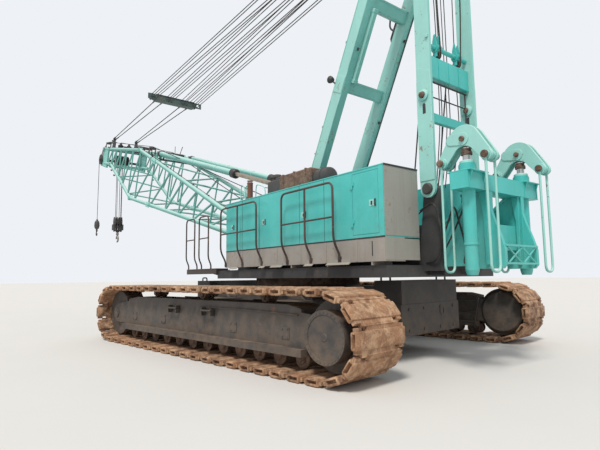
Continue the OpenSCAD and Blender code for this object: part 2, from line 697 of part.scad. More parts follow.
module lift_rod(k) {
    color(steel) upper() translate([lift_x, k * lift_y, 0]) difference() {
        union() {
            translate([0, 0, 1660]) cylinder(r = 60, h = 1790, $fn = 64);
            translate([-70, -45, 3430]) cube([140, 90, 150]);
            translate([0, -45, equal_z]) rotate([-90, 0, 0]) cylinder(r = 80, h = 90, $fn = 48);
            translate([0, -120, equal_z]) rotate([-90, 0, 0]) cylinder(r = 35, h = 240, $fn = 48);
        }
    }
}
module lift_rod_left() { lift_rod(1); }
module lift_rod_right() { lift_rod(-1); }
// Banana-shaped arm as two cheeks, with a pair of links that end in a loop at each end
link_r = 18;
link_low = 1580;
// Holes in the links for the pins of the rear weight
weight_pin_r = 22;
module equalizer(k) {
    end_z = -320;
    color(light_teal) upper() translate([lift_x, k * lift_y, equal_z]) {
        for (j = [-1, 1]) difference() {
            side_plate(j > 0 ? 50 : -90, j > 0 ? 90 : -50)
                polygon([[-equal_a - 60, end_z - 60], [-equal_a - 60, end_z + 90], [-200, 90], [-90, 130], [90, 130],
                    [200, 90], [equal_a + 60, end_z + 90], [equal_a + 60, end_z - 60], [equal_a - 60, end_z - 60],
                    [130, -80], [-130, -80], [-equal_a + 60, end_z - 60]]);
            cross_pin(0, 0, -100, 100, 35 + pin_gap);
        }
        for (e = [-1, 1]) {
            cross_pin(e * equal_a, end_z, -115, 115, 35);
            difference() {
                union() {
                    cross_pin(e * equal_a, end_z, -40, 40, 75);
                    for (j = [-1, 1])
                        bar([e * equal_a + j * 55, 0, end_z - 20], [e * equal_a + j * 45, 0, link_low + 10 - equal_z], link_r);
                    cross_pin(e * equal_a, link_low - equal_z, -30, 30, 62);
                }
                cross_pin(e * equal_a, end_z, -100, 100, 35 + seat_gap);
                cross_pin(e * equal_a, link_low - equal_z, -40, 40, weight_pin_r);
            }
        }
    }
}
module equalizer_left() { equalizer(1); }
module equalizer_right() { equalizer(-1); }

// Boom. Its own frame has X along the boom from the foot pin and Z square to it.

module boom_frame() { upper() translate([foot_x, 0, foot_z]) rotate([0, -boom_a, 0]) children(); }
// Chord lines as rows of distance along the boom and height
top_line = [[0, 200], [base_l + 1980, 1110], [boom_l - 190, 520]];
low_line = [[0, -60], [base_l + 2410, -1000], [boom_l - 1540, -60], [boom_l - 190, -200]];
function on_line(line, s) =
    let (i = [for (k = [0 : len(line) - 2]) if (s <= line[k + 1][0] || k == len(line) - 2) k][0])
    line[i][1] + (line[i + 1][1] - line[i][1]) * (s - line[i][0]) / (line[i + 1][0] - line[i][0]);
function top_pt(s, y) = [s, y, on_line(top_line, s)];
function low_pt(s, y) = [s, y, on_line(low_line, s)];
base_stations = [1150, 2350, 3550, 4750, 5950, base_l - 90];
// Lengths of the head section's bays, which get shorter toward the head
tip_bays = [1740, 1000, 950, 800, 750, 650, 650];
function sum_to(list, n) = n == 0 ? 0 : list[n - 1] + sum_to(list, n - 1);
tip_scale = (boom_l - 990 - base_l - 90) / sum_to(tip_bays, len(tip_bays));
tip_stations = [for (i = [0 : len(tip_bays)]) base_l + 90 + tip_scale * sum_to(tip_bays, i)];

module chord_run(line, s0, s1, y) {
    ss = concat([s0], [for (p = line) if (p[0] > s0 && p[0] < s1) p[0]], [s1]);
    for (i = [0 : len(ss) - 2]) {
        bar([ss[i], y, on_line(line, ss[i])], [ss[i + 1], y, on_line(line, ss[i + 1])], chord_r, 32);
        if (i > 0) cross_pin(ss[i], on_line(line, ss[i]), y - chord_r - 15, y + chord_r + 15, chord_r + 22);
    }
}
module lacing(st) {
    n = len(st);
    for (i = [0 : n - 2]) {
        a = st[i];
        b = st[i + 1];
        for (k = [-1, 1]) {
            y = k * boom_y;
            bar(top_pt(a, y), low_pt(b, y), lace_r, 8);
            bar(low_pt(a, y), top_pt(a, y), post_r, 8);
        }
        bar(top_pt(a, i % 2 == 0 ? -boom_y : boom_y), top_pt(b, i % 2 == 0 ? boom_y : -boom_y), cross_r, 8);
        bar(low_pt(a, i % 2 == 0 ? boom_y : -boom_y), low_pt(b, i % 2 == 0 ? -boom_y : boom_y), cross_r, 8);
    }
}
module boom_base() {
    color(light_teal) boom_frame() difference() {
        union() {
            for (k = [-1, 1]) {
                chord_run(top_line, 700, base_l - seat_gap / 2, k * boom_y);
                chord_run(low_line, 700, base_l - seat_gap / 2, k * boom_y);
                side_plate(k * boom_y - foot_w / 2, k * boom_y + foot_w / 2)
                    polygon([[0, 125], [-110, 60], [-110, -60], [0, -125], [900, on_line(low_line, 900) - 60],
                        [900, on_line(top_line, 900) + 60]]);
            }
            lacing(base_stations);
            bar(top_pt(1150, -boom_y), top_pt(1150, boom_y), 60);
            bar(low_pt(1150, -boom_y), low_pt(1150, boom_y), 60);
        }
        cross_pin(0, 0, -boom_y - 200, boom_y + 200, foot_pin_r + pin_gap);
    }
}
module boom_tip() {
    color(light_teal) boom_frame() union() {
        for (k = [-1, 1]) {
            chord_run(top_line, base_l + seat_gap / 2, boom_l - 140, k * boom_y);
            chord_run(low_line, base_l + seat_gap / 2, boom_l - 540, k * boom_y);
            difference() {
                side_plate(k * boom_y - 30, k * boom_y + 30)
                    polygon([[boom_l - 940, -330], [boom_l + 160, -380], [boom_l + 260, 0], [boom_l + 160, 560],
                        [boom_l - 940, 640]]);
                cross_pin(sheave_s, sheave_h, k * boom_y - 40, k * boom_y + 40, sheave_shaft_r + pin_gap);
                cross_pin(jib_pin_s, jib_pin_h, k * boom_y - 40, k * boom_y + 40, jib_pin_r);
            }
        }
        lacing(tip_stations);
        bar([boom_l - 90, -boom_y, 500], [boom_l - 90, boom_y, 500], 58);
        bar([boom_l - 640, -boom_y, -230], [boom_l - 640, boom_y, -230], 50);
        // posts that hold the pendants
        for (k = [-1, 1])
            side_plate(k * post_y - 20, k * post_y + 20)
                polygon([[anchor_s - 300, 470], [anchor_s + 250, 470], [anchor_s + 100, anchor_h + 90],
                    [anchor_s - 100, anchor_h + 90]]);
        // cross tube and lugs that hold the backstops
        bar(top_pt(stop_s, -boom_y), top_pt(stop_s, boom_y), 50);
        for (k = [-1, 1], j = [-1, 1]) difference() {
            y = k * stop_y + j * 65;
            side_plate(y - 15, y + 15)
                polygon([[stop_s - 65, stop_h - 200], [stop_s + 65, stop_h - 200], [stop_s + 60, stop_h + 70],
                    [stop_s - 60, stop_h + 70]]);
            cross_pin(stop_s, stop_h, y - 40, y + 40, stop_pin_r + pin_gap);
        }
    }
}
// Distance of the pendant posts beside the middle, and radius of the pin in them
post_y = 540;
anchor_r = 25;
anchor_s = boom_l - 190;
anchor_h = 1080;
sheave_s = boom_l;
sheave_h = -60;
sheave_r = 330;
sheave_step = 130;
sheave_shaft_r = 60;
// Holes for the pins of a jib
jib_pin_s = boom_l + 150;
jib_pin_h = 330;
jib_pin_r = 30;
module head_sheaves() {
    color(steel) boom_frame() {
        cross_pin(sheave_s, sheave_h, -boom_y - 30, boom_y + 30, sheave_shaft_r);
        for (i = [-2 : 2]) cross_pin(sheave_s, sheave_h, i * sheave_step - 30, i * sheave_step + 30, sheave_r);
    }
}

// Backstops: barrels pinned to the boom, rods seated at the deck
stop_y = 650;
stop_s = base_l + 550;
stop_h = 1190;
stop_pin_r = 30;
stop_seat = [430, 3790];
function boom_to_upper(s, h) =
    [foot_x + s * cos(boom_a) - h * sin(boom_a), foot_z + s * sin(boom_a) + h * cos(boom_a)];
stop_pin = boom_to_upper(stop_s, stop_h);
stop_len = norm(stop_pin - stop_seat);
stop_dir = unit(stop_seat - stop_pin);
stop_barrel_l = 6350;
module backstop_barrels() {
    color(light_teal) upper() for (k = [-1, 1]) {
        p = [stop_pin[0], k * stop_y, stop_pin[1]];
        u = [stop_dir[0], 0, stop_dir[1]];
        difference() {
            union() {
                bar(p + u * 150, p + u * stop_barrel_l, 95, 48);
                bar(p, p + u * 200, 38, 48);
                bar(p + u * (stop_barrel_l - 160), p + u * stop_barrel_l, 130, 48);
                cross_pin(p[0], p[2], p[1] - 40, p[1] + 40, 80);
                cross_pin(p[0], p[2], p[1] - 90, p[1] + 90, stop_pin_r);
            }
            bar(p + u * 900, p + u * (stop_barrel_l + 10), 60 + pin_gap, 48);
        }
    }
}
module backstop_rods() {
    color(steel) upper() for (k = [-1, 1]) {
        p = [stop_pin[0], k * stop_y, stop_pin[1]];
        u = [stop_dir[0], 0, stop_dir[1]];
        bar(p + u * (stop_barrel_l - 1200), p + u * stop_len, 60, 48);
        cross_pin(stop_seat[0], stop_seat[1], k * stop_y - 55, k * stop_y + 55, 85);
    }
}

// Boom hoist rigging between the gantry head and the boom head
bridle_x = 8620;
bridle_z = 8620;
bridle_half = 1100;
anchor = boom_to_upper(anchor_s, anchor_h);
bridle_eye = [bridle_x + 170, bridle_z];
pendant_y = [for (k = [-1, 1], j = [-1, 1]) k * post_y + j * 47.5];
module bridle() {
    color(dark_grey) upper() difference() {
        union() {
            block([bridle_x - 130, -bridle_half, bridle_z - 110], [bridle_x + 90, bridle_half, bridle_z + 110]);
            // lugs for the pendants
            for (k = [-1, 1])
                side_plate(k * post_y - 20, k * post_y + 20)
                    polygon([[bridle_x, bridle_z - 90], [bridle_x + 200, bridle_z - 50], [bridle_x + 230, bridle_z],
                        [bridle_x + 200, bridle_z + 50], [bridle_x, bridle_z + 90]]);
        }
        for (k = [-1, 1])
            cross_pin(bridle_eye[0], bridle_eye[1], k * post_y - 60, k * post_y + 60, anchor_r + pin_gap);
    }
}
module pendants() {
    color(black) upper() {
        for (y = pendant_y) {
            bar([bridle_eye[0], y, bridle_eye[1]], [anchor[0], y, anchor[1]], 18, 24);
            for (p = [bridle_eye, anchor]) cross_pin(p[0], p[1], y - 22.5, y + 22.5, 55);
            // pin heads outside the posts
            cross_pin(anchor[0], anchor[1], y - (abs(y) > post_y == y > 0 ? -22 : 40), y + (abs(y) > post_y == y > 0 ? 40 : -22), anchor_r);
        }
        for (k = [-1, 1]) cross_pin(bridle_eye[0], bridle_eye[1], k * post_y - 80, k * post_y + 80, anchor_r);
    }
}

// Hook block hangs from the head sheaves
sheave_at = boom_to_upper(sheave_s, sheave_h);
hook_z = 4300;
rope_r = 14;
hook_x = sheave_at[0] + sheave_r + rope_r + seat_gap;
module hook_block() {
    color(dark_grey) upper() translate([hook_x, 0, 0]) {
        block([-60, -180, hook_z - 350], [60, 180, hook_z + 350]);
        for (k = [-1, 1]) bar([0, k * sheave_step, hook_z + 340], [0, k * sheave_step, sheave_at[1]], rope_r, 24);
    }
}
module hook() {
    color(dark_grey) upper() translate([hook_x, 0, hook_z - 350 - seat_gap]) {
        translate([0, 0, -220]) cylinder(r = 40, h = 220, $fn = 32);
        translate([0, 0, -400]) rotate([90, 0, 0]) rotate_extrude(angle = 270, $fn = 48) translate([150, 0]) circle(r = 40, $fn = 24);
    }
}

carbody();
slewing_ring();
carbody_weights();
crawler_frames();
track_rollers();
tumblers();
drive_covers();
track_left();
track_right();
frame_steps();
deck();
deck_skirts();
left_house();
right_house();
engine_block();
exhaust();
roof_boxes();
guard_rails();
left_rear_door();
right_front_door();
right_rear_door();
cab();
cab_glass();
cab_seat();
cab_door();
main_drum();
aux_drum();
boom_hoist_drum();
gantry_front_legs();
gantry_rear_legs();
rope_guide();
gantry_sheaves();
peak_yoke();
lift_frame();
lift_barrels();
lift_rod_left();
lift_rod_right();
equalizer_left();
equalizer_right();
boom_base();
boom_tip();
head_sheaves();
backstop_barrels();
backstop_rods();
bridle();
pendants();
hook_block();
hook();
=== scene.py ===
import math
import random

import bmesh
import bpy
from mathutils import Matrix, Vector


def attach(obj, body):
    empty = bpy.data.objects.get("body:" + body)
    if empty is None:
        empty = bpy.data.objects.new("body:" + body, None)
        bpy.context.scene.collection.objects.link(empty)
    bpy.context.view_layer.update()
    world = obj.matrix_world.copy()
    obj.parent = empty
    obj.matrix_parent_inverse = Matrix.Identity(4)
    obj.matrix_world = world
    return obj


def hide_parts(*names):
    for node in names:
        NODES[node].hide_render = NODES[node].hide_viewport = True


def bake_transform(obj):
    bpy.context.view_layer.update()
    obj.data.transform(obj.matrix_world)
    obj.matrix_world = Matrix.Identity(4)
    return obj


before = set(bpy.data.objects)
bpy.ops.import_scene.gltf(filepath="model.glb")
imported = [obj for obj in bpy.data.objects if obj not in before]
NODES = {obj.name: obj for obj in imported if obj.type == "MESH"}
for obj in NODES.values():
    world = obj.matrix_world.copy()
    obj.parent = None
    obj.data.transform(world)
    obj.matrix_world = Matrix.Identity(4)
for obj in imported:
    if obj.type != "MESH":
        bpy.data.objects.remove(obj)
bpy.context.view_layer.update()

bl_info = {
    "name": "Crawler crane",
    "version": (1, 0, 0),
    "blender": (4, 5, 0),
    "location": "View3D > Sidebar > Crawler crane",
    "description": "Dresses the packed crawler crane with its fittings, ropes and finishes",
    "category": "Object",
}

# Feet and slopes that the frames below take from the part's source
BOOM_FOOT = (1.15, 0, 2.5)
BOOM_ANGLE = math.radians(19.5)
MAST_FOOT = (-0.42, 0, 2.33)
MAST_LEAN = math.atan2(3.46, 6.92)
STOP_PIN = (8.454, 0, 6.349)
STOP_TURN = math.radians(180 - 17.686)

# Frames in which pieces are modelled, as in the part's source
GROUND = Matrix.Identity(4)
SLEW = Matrix.Rotation(math.radians(-7), 4, "Z")
BOOM = SLEW @ Matrix.Translation(BOOM_FOOT) @ Matrix.Rotation(-BOOM_ANGLE, 4, "Y")
MAST = SLEW @ Matrix.Translation(MAST_FOOT) @ Matrix.Rotation(-MAST_LEAN, 4, "Y")
STOP = SLEW @ Matrix.Translation(STOP_PIN) @ Matrix.Rotation(STOP_TURN, 4, "Y")

# Crawlers and car body, in metres, as all that follows
CRAWLER_Y = 2.865  # middle of a track, across
TUMBLER_X = 3.6  # shafts at both ends of a track
TRACK_RADIUS = 0.67  # outside of the shoes round a tumbler
HINGE_RADIUS = 0.6  # hinges of the shoes round a tumbler
SHOES = 48  # on one track
SHOE_WIDTH = 1.115
LUG_BANDS = 8  # places for hinge lugs across a shoe
LUG_WIDTH = 0.105
ROLLERS = 12  # under one crawler frame
ROLLER_END = 2.8546  # outermost roller of a frame
FRAME_HALF = 0.28  # half the width of a crawler frame
FRAME_STEPS = (0.74, -0.51)  # steps along a frame
WEIGHT_X = 3.34  # end faces of the car body's weights
WEIGHT_SIDE = 1.6  # gussets of the cross beams

# Houses, guard rails and what stands on the deck
HOUSE_Y = 1.6  # outer walls
SKIRT_FACE = 1.6003  # just clear of the skirts
RAIL_FOOT = 1.615
RAIL_OUT = 1.75
RAIL_TOP = 3.16
RAIL_MIDDLE = 2.54
WALK_IN = 1.58  # feet of the walkway's rails
WALK_OUT = 1.66  # uprights of the walkway's rails
DRUM_Z = 2.2  # shafts of the winches
STACK = (0.9, 1.1, 0)  # axis of the exhaust
CLEANER = (0, 1.02, 3.51)  # axis of the air cleaner

# Gantry, hoist ropes and bridle
MAST_SIDE = 0.695  # outer faces of the front legs
REAR_LEG_X = -4.14
REAR_LEG_PIN = 4.59  # height of the pins in the rear legs
REAR_LEG_INNER = -0.6215  # inner face of the right rear leg
GUIDE_SHEAVE = 5.43  # height of the rope guide's sheaves
HEAD_SHAFT = (-4.08, 9.25)
HEAD_ROPES = (-0.43, -0.355, -0.165, -0.09, 0.09, 0.165, 0.355, 0.43)
BRIDLE = (8.6, 8.62)
BRIDLE_ROPES = (-0.89, -0.77, -0.42, -0.28, 0.22, 0.34, 0.85, 0.95)
ROPE_REEVE = (8.5, 8.62)  # where the hoist ropes end at the bridle

# Boom, backstops and hooks
CHORD_Y = 0.93  # chords of the boom
POST_Y = 0.54  # posts and pins of the pendants
STOP_Y = 0.65  # backstops
FOOT_PIN_END = 0.157  # half the length of a foot pin
BOOM_SHEAVE = (15.24, -0.06)
HOOK_X = 15.88
AUX_X = 15.8
AUX_Y = 1.04
FALLS_TOP = 7.53  # where the falls leave the boom head
LOAD_ROPE = 0.013  # radius of the load ropes

# Lifting device for the weights
LIFT_X = -4.985
LIFT_Y = 0.81
EQUALIZER_PIN = 3.575
LINK_PIN = EQUALIZER_PIN - 0.32
LINK_REACH = 0.38  # from the equalizer's pin to those of its links

# Camera and key light
CAMERA_PLACE = (-8.029, 8.133, 1.51)
CAMERA_TURN = (-44.47, 6.329, -0.597)  # yaw, pitch and roll in degrees
SUN_WAY = (0.35, -0.62, -1.05)


# ---- Materials ----

def math_method(operation, swapped=False):
    """A method of Value that adds one Math node."""
    def method(self, other):
        a, b = (other, self) if swapped else (self, other)
        return self.graph.add("ShaderNodeMath", {"operation": operation}, {0: a, 1: b})
    return method


class Value:
    """A node's output that takes part in Python expressions and adds Math nodes."""
    __add__ = math_method("ADD")
    __radd__ = math_method("ADD", True)
    __sub__ = math_method("SUBTRACT")
    __rsub__ = math_method("SUBTRACT", True)
    __mul__ = math_method("MULTIPLY")
    at_most = math_method("MINIMUM")
    at_least = math_method("MAXIMUM")

    def __init__(self, graph, socket):
        self.graph, self.socket = graph, socket

    def clamped(self):
        return self.at_least(0.0).at_most(1.0)


class Graph:
    """The node tree of one material."""

    def __init__(self, name, color, roughness=0.5, metallic=0.0):
        self.material = bpy.data.materials.new(name)
        self.material.use_nodes = True
        self.tree = self.material.node_tree
        self.shader = self.tree.nodes["Principled BSDF"]
        self.shader.inputs["Base Color"].default_value = (*color, 1)
        self.shader.inputs["Roughness"].default_value = roughness
        self.shader.inputs["Metallic"].default_value = metallic
        self.material.diffuse_color = (*color, 1)
        self.place = self.add("ShaderNodeTexCoord", {}, {}, "Object")

    def add(self, kind, settings, inputs, output=0):
        node = self.tree.nodes.new(kind)
        for key, value in settings.items():
            setattr(node, key, value)
        for key, value in inputs.items():
            if isinstance(value, Value):
                self.tree.links.new(value.socket, node.inputs[key])
            else:
                node.inputs[key].default_value = value
        return Value(self, node.outputs[output])

    def noise(self, scale, detail=4.0, roughness=0.55, stretch=None, distortion=0.0):
        where = self.place
        if stretch:
            where = self.add("ShaderNodeMapping", {}, {"Vector": self.place, "Scale": stretch})
        return self.add("ShaderNodeTexNoise", {}, {"Vector": where, "Scale": scale, "Detail": detail,
                "Roughness": roughness, "Distortion": distortion})

    def step(self, value, low, high, a=0.0, b=1.0):
        """Smooth step of value from low to high."""
        return self.add("ShaderNodeMapRange", {"interpolation_type": "SMOOTHSTEP"},
                {"Value": value, "From Min": low, "From Max": high, "To Min": a, "To Max": b})

    def axis(self, which):
        return self.add("ShaderNodeSeparateXYZ", {}, {0: self.place}, which)

    def facing(self, which):
        """Part of the surface's own normal along an axis."""
        normal = self.add("ShaderNodeNewGeometry", {}, {}, "Normal")
        return self.add("ShaderNodeSeparateXYZ", {}, {0: normal}, which)

    def mix(self, factor, a, b):
        def shade(c):
            return c if isinstance(c, Value) else (*c, 1)
        return self.add("ShaderNodeMix", {"data_type": "RGBA"}, {0: factor, 6: shade(a), 7: shade(b)}, 2)

    def set(self, **links):
        names = {"color": "Base Color", "roughness": "Roughness", "metallic": "Metallic", "alpha": "Alpha"}
        for key, value in links.items():
            self.tree.links.new(value.socket, self.shader.inputs[names[key]])

    def bump(self, height, strength, distance):
        node = self.add("ShaderNodeBump", {}, {"Height": height, "Strength": strength,
                "Distance": distance})
        self.tree.links.new(node.socket, self.shader.inputs["Normal"])


def worn_paint(name, color, faded, rust=0.5, dust=0.3, rough=0.45, streak=0.5, dust_color=(0.36, 0.25, 0.16),
               dust_low=0.0, dust_high=2.0, chip_scale=9.0, painted_sunlight=0.0, sun=(-0.25, 0.55, 0.7)):
    """Old machine paint: faded in clouds, streaked down the faces, dusty low down and rusty at chips; where
    asked, lighter on faces towards the sun as a painted highlight and darker on faces turned away as painted
    shade.
    """
    g = Graph(name, color, rough)
    clouds = g.step(g.noise(0.9, 5, 0.6), 0.32, 0.68)
    fine = g.noise(26, 3, 0.6)
    runs = g.step(g.noise(2.6, 5, 0.65, (4.0, 4.0, 0.28)), 0.45, 0.75)
    shade = g.mix(clouds * 0.55 + (fine - 0.5) * 0.35, color, faded)
    shade = g.mix(runs * streak * 0.45, shade, tuple(c * 0.55 + 0.02 for c in color))
    if painted_sunlight:
        # Painted light: faces towards the sun are mixed to a pale mint (0.50, 0.72, 0.66) as a painted
        # highlight; faces turned away and down are darkened to 0.45 of the colour as painted shade.
        sunny = g.step(g.facing("X") * sun[0] + g.facing("Y") * sun[1] + g.facing("Z") * sun[2], 0.05, 0.95)
        shaded = g.step(g.facing("Y") * 0.8 + g.facing("Z") * 0.5, -0.7, 0.1, 1.0, 0.0)
        shade = g.mix(sunny * painted_sunlight, shade, (0.50, 0.72, 0.66))
        shade = g.mix(shaded * 0.55, shade, tuple(c * 0.45 for c in color))
    patches = g.noise(chip_scale, 9, 0.72, distortion=0.3) + (g.noise(1.4, 3) - 0.5) * 0.5
    chips = g.step(patches, 0.66 - 0.05 * rust, 0.70 - 0.05 * rust)
    corrosion = g.mix(g.noise(45, 4), (0.16, 0.065, 0.03), (0.36, 0.17, 0.08))
    shade = g.mix(chips * min(1.0, rust * 1.4), shade, corrosion)
    low = g.step(g.axis("Z"), dust_low, dust_high, 1.0, 0.0)
    lying = g.step(g.facing("Z"), 0.3, 0.95)
    settled = ((low * 0.7 + lying * 0.55) * dust * g.step(g.noise(5, 6, 0.7), 0.25, 0.7)).clamped()
    shade = g.mix(settled, shade, dust_color)
    g.set(color=shade, roughness=(rough + chips * 0.35 + settled * 0.4 + (fine - 0.5) * 0.25).clamped())
    g.bump(chips * -0.6 + g.noise(60, 3) * 0.25 + g.noise(3, 2) * 0.3, 0.25, 0.004)
    return g.material


def earthy_steel(name, dark, brown, dusty, shine=0.55, scale=1.0):
    """Bare cast or rolled steel that has rusted and carries dry earth."""
    g = Graph(name, brown, 0.8, 0.15)
    broad = g.noise(1.3 * scale, 6, 0.65)
    grain = g.noise(22 * scale, 8, 0.7)
    crust = g.step(g.noise(6 * scale, 9, 0.75, distortion=0.4), 0.42, 0.62)
    shade = g.mix(g.step(broad, 0.35, 0.65), dark, brown)
    shade = g.mix(crust * 0.75, shade, dusty)
    shade = g.mix(g.step(grain, 0.5, 0.72) * 0.5, shade, tuple(c * 0.45 for c in brown))
    polish = g.step(g.noise(3.1 * scale, 4), 0.58, 0.7) * (1 - crust)
    g.set(color=shade, metallic=polish * shine,
            roughness=(0.92 - polish * 0.45 - (grain - 0.5) * 0.3).clamped())
    g.bump(grain * 0.5 + crust * 0.5, 0.6, 0.006)
    return g.material


def plain_metal(name, color, rough=0.4, metallic=0.9, grime=0.4):
    """Machined steel with a film of old grease."""
    g = Graph(name, color, rough, metallic)
    film = g.step(g.noise(7, 6, 0.65), 0.4, 0.7)
    shade = g.mix(film * grime, color, (0.10, 0.075, 0.055))
    g.set(color=shade, metallic=(metallic - film * grime * 0.7).clamped(),
            roughness=(rough + film * 0.3).clamped())
    g.bump(g.noise(90, 3), 0.12, 0.002)
    return g.material


def window_glass(name):
    g = Graph(name, (0.10, 0.14, 0.15), 0.06)
    smears = g.step(g.noise(4, 5, 0.7), 0.45, 0.8)
    g.shader.inputs["IOR"].default_value = 1.5
    g.set(alpha=(0.42 + smears * 0.2).clamped(), roughness=0.04 + smears * 0.25)
    return g.material


def soft_black(name, color=(0.03, 0.03, 0.032), rough=0.7):
    """Rubber, plastic and seat cover; also the dark strips of painted shade in the house panel gaps."""
    g = Graph(name, color, rough)
    dust = g.step(g.noise(9, 6, 0.7), 0.45, 0.75)
    g.set(color=g.mix(dust * 0.3, color, (0.20, 0.16, 0.12)), roughness=(rough + dust * 0.15).clamped())
    g.bump(g.noise(160, 2), 0.2, 0.001)
    return g.material


def rope_steel(name):
    """Wire rope: greasy strands that lie aslant."""
    g = Graph(name, (0.07, 0.065, 0.06), 0.5, 0.6)
    strands = g.add("ShaderNodeTexWave", {"wave_type": "BANDS", "bands_direction": "DIAGONAL"},
            {"Vector": g.place, "Scale": 14.0, "Distortion": 0.6})
    g.set(color=g.mix(strands * 0.5, (0.035, 0.032, 0.03), (0.16, 0.15, 0.14)),
            roughness=0.45 + strands * 0.3)
    return g.material


MATERIALS = {}


def make_materials(paint):
    teal, light = tuple(paint.teal), tuple(paint.light_teal)
    MATERIALS.update(
        teal=worn_paint("Teal house paint", teal, tuple(min(1, c * 1.25 + 0.03) for c in teal), rust=0.25,
            dust=0.25, rough=0.34, streak=0.35, dust_low=1.6, dust_high=2.6, chip_scale=13),
        # Both boom teal paints take the painted sun highlight and painted shade of worn_paint.
        light=worn_paint("Light teal boom paint", light, tuple(min(1, c * 1.3 + 0.05) for c in light),
            rust=0.55, dust=0.35, rough=0.5, streak=0.5, dust_low=0.5, dust_high=3, chip_scale=11,
            painted_sunlight=0.7),
        # The boom's paint is the boom teal darkened to 0.72 as painted shade on the lattice, with a stronger
        # painted highlight on faces turned up.
        boom=worn_paint("Shaded boom paint", tuple(c * 0.72 for c in light), tuple(c * 0.95 for c in light),
            rust=0.5, dust=0.2, rough=0.5, streak=0.5, dust_low=0.5, dust_high=3, chip_scale=11,
            painted_sunlight=0.85, sun=(0.0, 0.15, 0.85)),
        grey=worn_paint("Grey skirt paint", tuple(paint.grey), (0.42, 0.40, 0.37), rust=0.5, dust=0.6,
            rough=0.55, dust_low=1.2, dust_high=2.6),
        frame=worn_paint("Dark frame paint", tuple(paint.frame_black), (0.085, 0.08, 0.075), rust=0.35,
            dust=0.85, rough=0.6, streak=0.6, dust_low=0.1, dust_high=1.7, dust_color=(0.22, 0.15, 0.10)),
        rail=worn_paint("Brown black rail paint", (0.045, 0.032, 0.028), (0.11, 0.075, 0.06), rust=0.6,
            dust=0.4, rough=0.55),
        beige=worn_paint("Dusty grey sheet", (0.285, 0.28, 0.25), (0.36, 0.35, 0.315), rust=0.3, dust=0.4,
            rough=0.6, dust_low=1.2, dust_high=2.6),
        black=worn_paint("Black rail paint", (0.02, 0.02, 0.02), (0.05, 0.05, 0.05), rust=0.4, dust=0.3,
            rough=0.5),
        track=earthy_steel("Earthy track steel", (0.13, 0.065, 0.038), (0.34, 0.175, 0.092),
            (0.56, 0.365, 0.225)),
        roller=earthy_steel("Roller steel", (0.07, 0.05, 0.04), (0.16, 0.10, 0.07), (0.28, 0.19, 0.13)),
        rust=earthy_steel("Rusted sheet", (0.06, 0.038, 0.03), (0.15, 0.085, 0.058), (0.25, 0.175, 0.13),
            shine=0.2, scale=2),
        steel=plain_metal("Worn steel", (0.30, 0.29, 0.27), 0.45, 0.8),
        dull=plain_metal("Dark greasy steel", (0.075, 0.072, 0.07), 0.5, 0.6),
        chrome=plain_metal("Chromed rod", (0.62, 0.62, 0.62), 0.14, 1.0, 0.15),
        rope=rope_steel("Wire rope"),
        bridle=worn_paint("Dark green bridle paint", (0.05, 0.085, 0.08), (0.12, 0.16, 0.15), rust=0.5,
            dust=0.2, rough=0.55),
        stack=worn_paint("Scorched exhaust", (0.13, 0.045, 0.03), (0.24, 0.11, 0.07), rust=0.9, dust=0.2,
            rough=0.8),
        # Dark strips along the house panel seams: painted shade in the gaps between panels.
        seam=soft_black("Painted shade in panel gaps", (0.02, 0.06, 0.058), 0.8),
        rod=plain_metal("Backstop rod", (0.44, 0.38, 0.30), 0.32, 0.85),
        glass=window_glass("Tinted window glass"),
        plastic=soft_black("Black plastic"),
        rubber=soft_black("Rubber hose", (0.018, 0.018, 0.018), 0.6),
    )


NODE_FINISH = {
    "teal": ["left_house", "right_house", "left_rear_door", "right_front_door", "right_rear_door", "cab",
        "cab_door", "rope_guide", "lift_frame", "lift_barrels"],
    "light": ["gantry_front_legs", "gantry_rear_legs", "equalizer_left", "equalizer_right"],
    # The boom takes the darkened copy of the boom teal, a painted shade.
    "boom": ["boom_base", "boom_tip", "backstop_barrels"],
    "grey": ["deck_skirts"],
    "frame": ["carbody", "carbody_weights", "crawler_frames", "deck", "engine_block", "drive_covers",
        "bridle", "peak_yoke", "hook_block", "frame_steps", "tumblers"],
    "black": ["guard_rails"],
    "track": ["track_left", "track_right"],
    "roller": ["track_rollers", "slewing_ring"],
    "rust": ["exhaust", "roof_boxes"],
    "steel": ["main_drum", "aux_drum", "boom_hoist_drum", "gantry_sheaves", "head_sheaves", "hook"],
    "chrome": ["lift_rod_left", "lift_rod_right"],
    "rod": ["backstop_rods"],
    "rope": ["pendants"],
    "glass": ["cab_glass"],
    "plastic": ["cab_seat"],
}


# ---- Properties ----

class CranePaint(bpy.types.PropertyGroup):
    teal: bpy.props.FloatVectorProperty(name="House teal", description="Paint of the houses and the cab",
            default=(0.055, 0.44, 0.41), subtype="COLOR", min=0, max=1)
    light_teal: bpy.props.FloatVectorProperty(name="Boom teal",
            description="Paint of the boom and the gantry", default=(0.17, 0.50, 0.455), subtype="COLOR",
            min=0, max=1)
    grey: bpy.props.FloatVectorProperty(name="Skirt grey", description="Paint of the deck skirts",
            default=(0.27, 0.26, 0.24), subtype="COLOR", min=0, max=1)
    frame_black: bpy.props.FloatVectorProperty(name="Frame black", description="Paint of the lower frames",
            default=(0.032, 0.032, 0.034), subtype="COLOR", min=0, max=1)


class CraneRigging(bpy.types.PropertyGroup):
    rope_radius: bpy.props.FloatProperty(name="Hoist rope radius",
            description="Radius of the boom hoist ropes", default=0.013, min=0.005, max=0.03, unit="LENGTH")


class CraneStage(bpy.types.PropertyGroup):
    lens: bpy.props.FloatProperty(name="Lens", description="Focal length of the camera", default=27.9,
            min=10, max=200, unit="CAMERA")
    key_power: bpy.props.FloatProperty(name="Key light", description="Strength of the sun-like key light",
            default=2.6, min=0, max=20)
    fill_power: bpy.props.FloatProperty(name="Sky light",
            description="Strength of the even light from all round", default=0.75, min=0, max=5)


# ---- Modelling helpers ----

